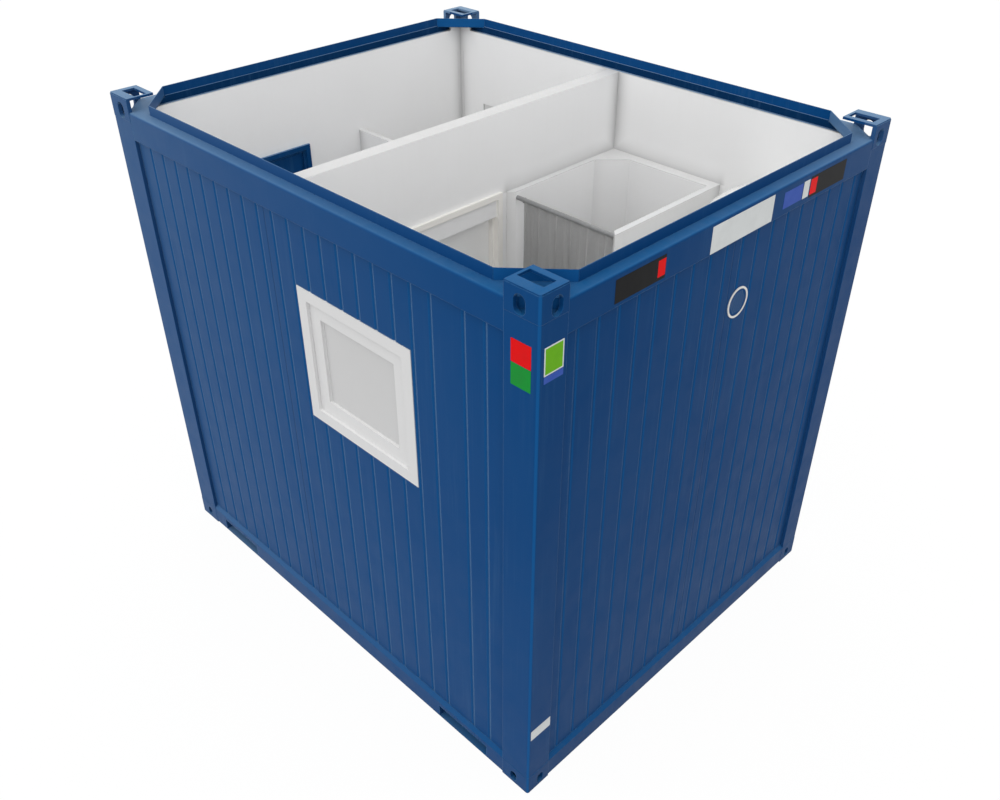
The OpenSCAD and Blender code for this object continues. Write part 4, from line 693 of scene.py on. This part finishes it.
# %% Rod with end cups
rod_y, rod_z, rod_r = 0.268, 2.215, 0.010
rod_ends, cup_length, cup_widening = (-0.048, 0.634), 0.011, 1.25
rod = begin(
    "cylinder", vertices=48, radius=rod_r, depth=rod_ends[1] - rod_ends[0],
    location=(sum(rod_ends) / 2, rod_y, rod_z), rotation=(0, math.pi / 2, 0))
apply_place(rod)
edit(rod)
cuts = rod_ends[0] + cup_length, rod_ends[1] - cup_length
for cut in cuts:
    mesh_op.select_all(action="SELECT")
    mesh_op.bisect(plane_co=(cut, rod_y, rod_z), plane_no=(1, 0, 0))
pick_faces(rod, lambda middle, normal: abs(normal.x) < 0.5 and not cuts[0] < middle.x < cuts[1])
mesh_op.extrude_region_move()
bpy.ops.transform.resize(value=(1, cup_widening, cup_widening), center_override=(0, rod_y, rod_z))
leave()
modify(rod, "BEVEL", width=0.0007, segments=2, limit_method="ANGLE")
finish_piece(rod, "curtain_rail", "container", "rod_grey", smooth=35)
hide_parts("curtain_rod")

# %% [markdown]
# ## The shower curtain
# The curtain hangs from a narrow hem on the rod in eleven folds. It could be simulated, but a drawn curtain is so
# regular that a sheet with its rows placed by a formula gives the same folds and the same result each time: they
# are flat under the rod, open out below it, have one deep crest and one shallow by turns, and wander a little on
# the way down. Next to the leading tape the cloth is set back a little, to hang clear of it. The CAD's solid has
# the plain folds that these are drawn over.

# %% Curtain folds
curtain_left, curtain_right = 0.0078, 0.6262
curtain_top, curtain_foot = rod_z - rod_r - 0.002, 0.247
folds, fold_depth, fullness, swing, opening_share = 11, 0.0235, 0.86, 1.75, 0.14


def fold_line(u):
    """Phase of the CAD curtain's folds at a share u of its width, and how deep they are there."""
    phase = 2 * math.pi * folds * (u + 0.012 * math.sin(math.radians(720 * u)))
    return phase, 0.78 + 0.22 * math.cos(phase / 2)


def cloth_point(u, v):
    """Place of the cloth at a share u of its width and a share v of its height, from the hem up."""
    phase, depth = fold_line(u)
    phase += 0.4 * (1 - v) * math.sin(7 * u + 2.1 * v) + 0.25 * math.sin(1.6 * v + 9 * u) * (1 - v)
    open_up = 0.3 + 0.7 * min(1.0, (1 - v) / opening_share) ** 0.6
    crest = (0.5 + 0.5 * math.sin(phase)) ** 1.2
    at_tape = 0.22 * max(0.0, 1 - 20 * u)
    y = rod_y + fold_depth * fullness * open_up * (0.75 - swing * crest * depth ** 2 + at_tape)
    x = curtain_left + (curtain_right - curtain_left) * u
    x += 0.004 * math.sin(2 * phase) * min(1.0, 12 * u, 12 * (1 - u)) * open_up
    return Vector((x, y, curtain_foot + (curtain_top - curtain_foot) * v))


columns, rows = folds * 18, 56
curtain = begin("grid", x_subdivisions=columns, y_subdivisions=rows, size=2)
uv = curtain.data.uv_layers[0]
uv.name = "cloth"
points = curtain.data.vertices
for point in points:
    point.co = cloth_point((point.co.x + 1) / 2, (point.co.y + 1) / 2)
print("curtain:", folds, "folds,", len(points), "points")

# %% [markdown]
# The flat size of the cloth is measured on its own shape: the length of the wavy line at mid height, and the
# height. The UV map is scaled to it, so that one UV unit is one metre of cloth.

# %% Flat size, UVs and thickness
wave = [cloth_point(i / columns, 0.5) for i in range(columns + 1)]
flat_width = sum((wave[i + 1] - wave[i]).length for i in range(columns))
flat_height = curtain_top - curtain_foot
for corner in uv.data:
    corner.uv = (corner.uv[0] * flat_width, corner.uv[1] * flat_height)
modify(curtain, "SOLIDIFY", thickness=0.0012, offset=0.0)
finish_piece(curtain, "curtain_cloth", "container", "curtain_cloth", smooth=60)
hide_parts("shower_curtain")
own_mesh(curtain)
print("cloth", round(flat_width, 2), "x", round(flat_height, 2), "m")

# %% [markdown]
# The edge that is drawn along is a stiff tape sewn on the cloth, hung from one ring on the rod. The tape is a box
# whose two side faces are inset and pushed in a little, with rounded edges. The ring is a torus, widened along the
# rod.

# %% Leading tape and its ring
tape_x, tape_y = (0.0032, 0.0084), (rod_y + 0.0005, rod_y + 0.0060)
tape = begin("cube", size=1)
tape.scale = (tape_x[1] - tape_x[0], tape_y[1] - tape_y[0], curtain_top - curtain_foot)
tape.location = (sum(tape_x) / 2, sum(tape_y) / 2, (curtain_top + curtain_foot) / 2)
apply_place(tape)
edit(tape)
pick_faces(tape, lambda middle, normal: abs(normal.x) > 0.5)
mesh_op.inset(thickness=0.0012, use_individual=True)
mesh_op.extrude_region_move()
bpy.ops.transform.resize(value=(0.8, 1, 1), center_override=(sum(tape_x) / 2, 0, 0))
leave()
modify(tape, "BEVEL", width=0.0005, segments=2, limit_method="ANGLE")
ring = begin(
    "torus", major_radius=rod_r + 0.0036, minor_radius=0.0022, major_segments=48, minor_segments=12,
    location=(sum(tape_x) / 2, rod_y, rod_z - 0.0014), rotation=(0, math.pi / 2, 0))
apply_place(ring)
edit(ring)
mesh_op.select_all(action="SELECT")
bpy.ops.transform.resize(value=(1.3, 1, 1), center_override=(sum(tape_x) / 2, rod_y, rod_z))
leave()
tape = join([tape, ring], "curtain_tape")
finish_piece(tape, "curtain_tape", "curtain", "curtain_tape", smooth=40)
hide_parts("curtain_edge")

# %% [markdown]
# ## Glazing gaskets
# A soft strip seals each pane to its sash, outside and inside. It's a frame a few millimetres wide: a plane the
# size of the opening is inset, its middle is deleted, and the rest gets its thickness and a rounded edge.

# %% Gaskets round the panes
pane_rebate, gasket_width, gasket_thick = 0.012, 0.0055, 0.0032
gasket_lap, gasket_offset = 0.0005, 0.0012


def gasket(name, low, high, at, body):
    """A strip round an opening in a wall that faces along Y; low and high are the opening's corners, x and z."""
    piece = begin("plane", size=1)
    piece.scale = (high[0] - low[0], high[1] - low[1], 1)
    piece.rotation_euler = (math.pi / 2, 0, 0)
    piece.location = ((low[0] + high[0]) / 2, at, (low[1] + high[1]) / 2)
    apply_place(piece)
    edit(piece)
    mesh_op.select_all(action="SELECT")
    mesh_op.inset(thickness=gasket_width)
    mesh_op.delete(type="FACE")
    leave()
    modify(piece, "SOLIDIFY", thickness=gasket_thick, offset=0.0)
    modify(piece, "BEVEL", width=0.0012, segments=3, limit_method="ANGLE")
    return finish_piece(piece, name, body, "gasket_pale", smooth=40)


for side in ("front", "back"):
    pane_low, pane_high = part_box(side + "_pane")
    low = pane_low[0] + pane_rebate - gasket_lap, pane_low[2] + pane_rebate - gasket_lap
    high = pane_high[0] - pane_rebate + gasket_lap, pane_high[2] - pane_rebate + gasket_lap
    for word, at in (("low", pane_low[1] - gasket_offset), ("high", pane_high[1] + gasket_offset)):
        gasket(f"{side}_gasket_{word}_y", low, high, at, side + "_window")

# %% [markdown]
# ## Insect screen in the vent
# Behind the punched grille lies a fine mesh that keeps insects out. It's a disc with a turned-back rim, just under
# the grille's face, and its threads are drawn by the material, because they are far too fine to model.

# %% Vent screen
grille_low, grille_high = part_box("vent_grille")
screen_radius, screen_rim, rim_height, set_back = 0.0630, 0.002, 0.001, 0.0007
screen_x = grille_high[0] - set_back
screen_y, screen_z = (grille_low[1] + grille_high[1]) / 2, (grille_low[2] + grille_high[2]) / 2
screen = begin(
    "circle", vertices=64, radius=screen_radius, fill_type="NGON", location=(screen_x, screen_y, screen_z),
    rotation=(0, math.pi / 2, 0))
apply_place(screen)
edit(screen)
mesh_op.select_all(action="SELECT")
mesh_op.inset(thickness=screen_rim)
mesh_op.select_all(action="INVERT")
mesh_op.extrude_region_move(TRANSFORM_OT_translate={"value": (-rim_height, 0, 0)})
leave()
finish_piece(screen, "vent_screen", "container", "screen_mesh", smooth=30)

# %% [markdown]
# ## Plates and labels
# The container carries plain plates on the roof rail and coloured labels on the corner post. Each is a thin sheet
# with small rounded corners, so it is modelled as one: a plane, its corners bevelled, then given its thickness.

# %% A plate on a wall
half_length, half_width = (round(side, 4) for side in cad_box[1][:2])
plate_corner, plate_thick, under, on_top = 0.0015, 0.0006, 0.0006, 0.0004


def plate(name, finish, wall, across, up, sink):
    """A thin plate on the wall that faces +X or -Y; across and up are its ranges, sink is how deep it lies."""
    width, height = across[1] - across[0], up[1] - up[0]
    middle = (sum(across) / 2, sum(up) / 2)
    piece = begin("plane", size=1)
    piece.scale = (width, height, 1)
    piece.rotation_euler = (math.pi / 2, 0, math.pi / 2 if wall == "+X" else 0)
    piece.location = (half_length - sink, middle[0], middle[1]) if wall == "+X" else (
        middle[0], -half_width + sink, middle[1])
    apply_place(piece)
    edit(piece)
    mesh_op.select_all(action="SELECT")
    mesh_op.bevel(offset=plate_corner, segments=4, affect="VERTICES")
    leave()
    modify(piece, "SOLIDIFY", thickness=plate_thick, offset=0.0)
    return finish_piece(piece, name, "container", finish)


plates = (
    ("rail_plate_black", "vinyl_black", "+X", (-0.816, -0.515), (2.606, 2.707)),
    ("rail_plate_red", "vinyl_red", "+X", (-0.563, -0.517), (2.620, 2.692)),
    ("rail_plate_white", "vinyl_white", "+X", (-0.216, 0.232), (2.593, 2.715)),
    ("rail_plate_blue", "vinyl_blue", "+X", (0.313, 0.463), (2.620, 2.697)),
    ("rail_strip_white", "vinyl_white", "+X", (0.470, 0.518), (2.619, 2.700)),
    ("rail_plate_black_2", "vinyl_black", "+X", (0.527, 0.831), (2.608, 2.707)),
    ("rail_plate_red_2", "vinyl_red", "+X", (0.528, 0.582), (2.621, 2.695)),
    ("post_label_red", "vinyl_red", "-Y", (1.357, 1.457), (2.485, 2.583)),
    ("post_label_green", "vinyl_green", "-Y", (1.357, 1.457), (2.387, 2.483)),
    ("post_label_back", "vinyl_white", "+X", (-1.189, -1.086), (2.462, 2.582)),
    ("post_label_lime", "vinyl_lime", "+X", (-1.183, -1.092), (2.468, 2.576)),
    ("post_label_blue", "vinyl_blue", "+X", (-1.189, -1.086), (2.430, 2.460)),
    ("post_label_low", "vinyl_white", "+X", (-1.203, -1.071), (0.405, 0.470)),
)
for name, finish, wall, across, up in plates:
    lies_on_another = wall == "+X" and ("red" in name or "lime" in name)
    plate(name, finish, wall, across, up, on_top if lies_on_another else under)

# %% [markdown]
# ## The stage
# A plain floor and plain light. The floor is white to the camera and to reflections, but still takes the object's
# soft shadow. The sky gives even light, and one very wide sun makes the window wall brighter than the end wall, as
# in the photograph.

# %% Floor
def seen_directly(tree):
    """1 for a ray from the camera, off a shiny surface or through a clear one, and 0 for soft light."""
    ray = add(tree, "LightPath").outputs
    camera_or_shine = calc(tree, ray["Is Camera Ray"], ray["Is Glossy Ray"], "MAXIMUM")
    return calc(tree, camera_or_shine, ray["Is Transmission Ray"], "MAXIMUM")


floor_size, floor_grey, floor_glow, glow_share = 120, 0.5, 1.06, 0.9
floor = begin("plane", size=floor_size)
floor.name = "stage_floor"
ground = bpy.data.materials.new("stage_floor")
ground.use_nodes = True
tree = ground.node_tree
tree.nodes.remove(tree.nodes["Principled BSDF"])
matt = add(tree, "BsdfDiffuse", {"Color": (floor_grey, floor_grey, floor_grey, 1)}).outputs[0]
glow = add(tree, "Emission", {"Color": (1, 1, 1, 1), "Strength": floor_glow}).outputs[0]
share = calc(tree, seen_directly(tree), glow_share)
both = add(tree, "MixShader", {0: share, 1: matt, 2: glow}).outputs[0]
tree.links.new(both, tree.nodes["Material Output"].inputs[0])
floor.data.materials.append(ground)
print("floor", floor_size, "m wide, grey", floor_grey)

# %% Sky and sun
sky_strength, sky_seen, sun_strength, sun_width, sun_from = 0.95, 1.0, 0.53, 70, (0.12, -0.6, 0.79)
world = bpy.data.worlds.new("studio")
bpy.context.scene.world = world
world.use_nodes = True
tree = world.node_tree
sky = tree.nodes["Background"].inputs
sky["Color"].default_value = (1, 1, 1, 1)
tree.links.new(span(tree, seen_directly(tree), 0.0, 1.0, sky_strength, sky_seen), sky["Strength"])

bpy.ops.object.light_add(type="SUN", location=(1.0, -4.0, 6.0))
sun = bpy.context.object
sun.data.energy = sun_strength
sun.data.angle = math.radians(sun_width)
sun.rotation_mode = "QUATERNION"
sun.rotation_quaternion = (-Vector(sun_from)).to_track_quat("-Z", "Y")
bpy.context.scene.view_settings.view_transform = "Standard"
bpy.context.scene.cycles.diffuse_bounces = 8
print("sun", sun_strength, "sky", sky_strength)
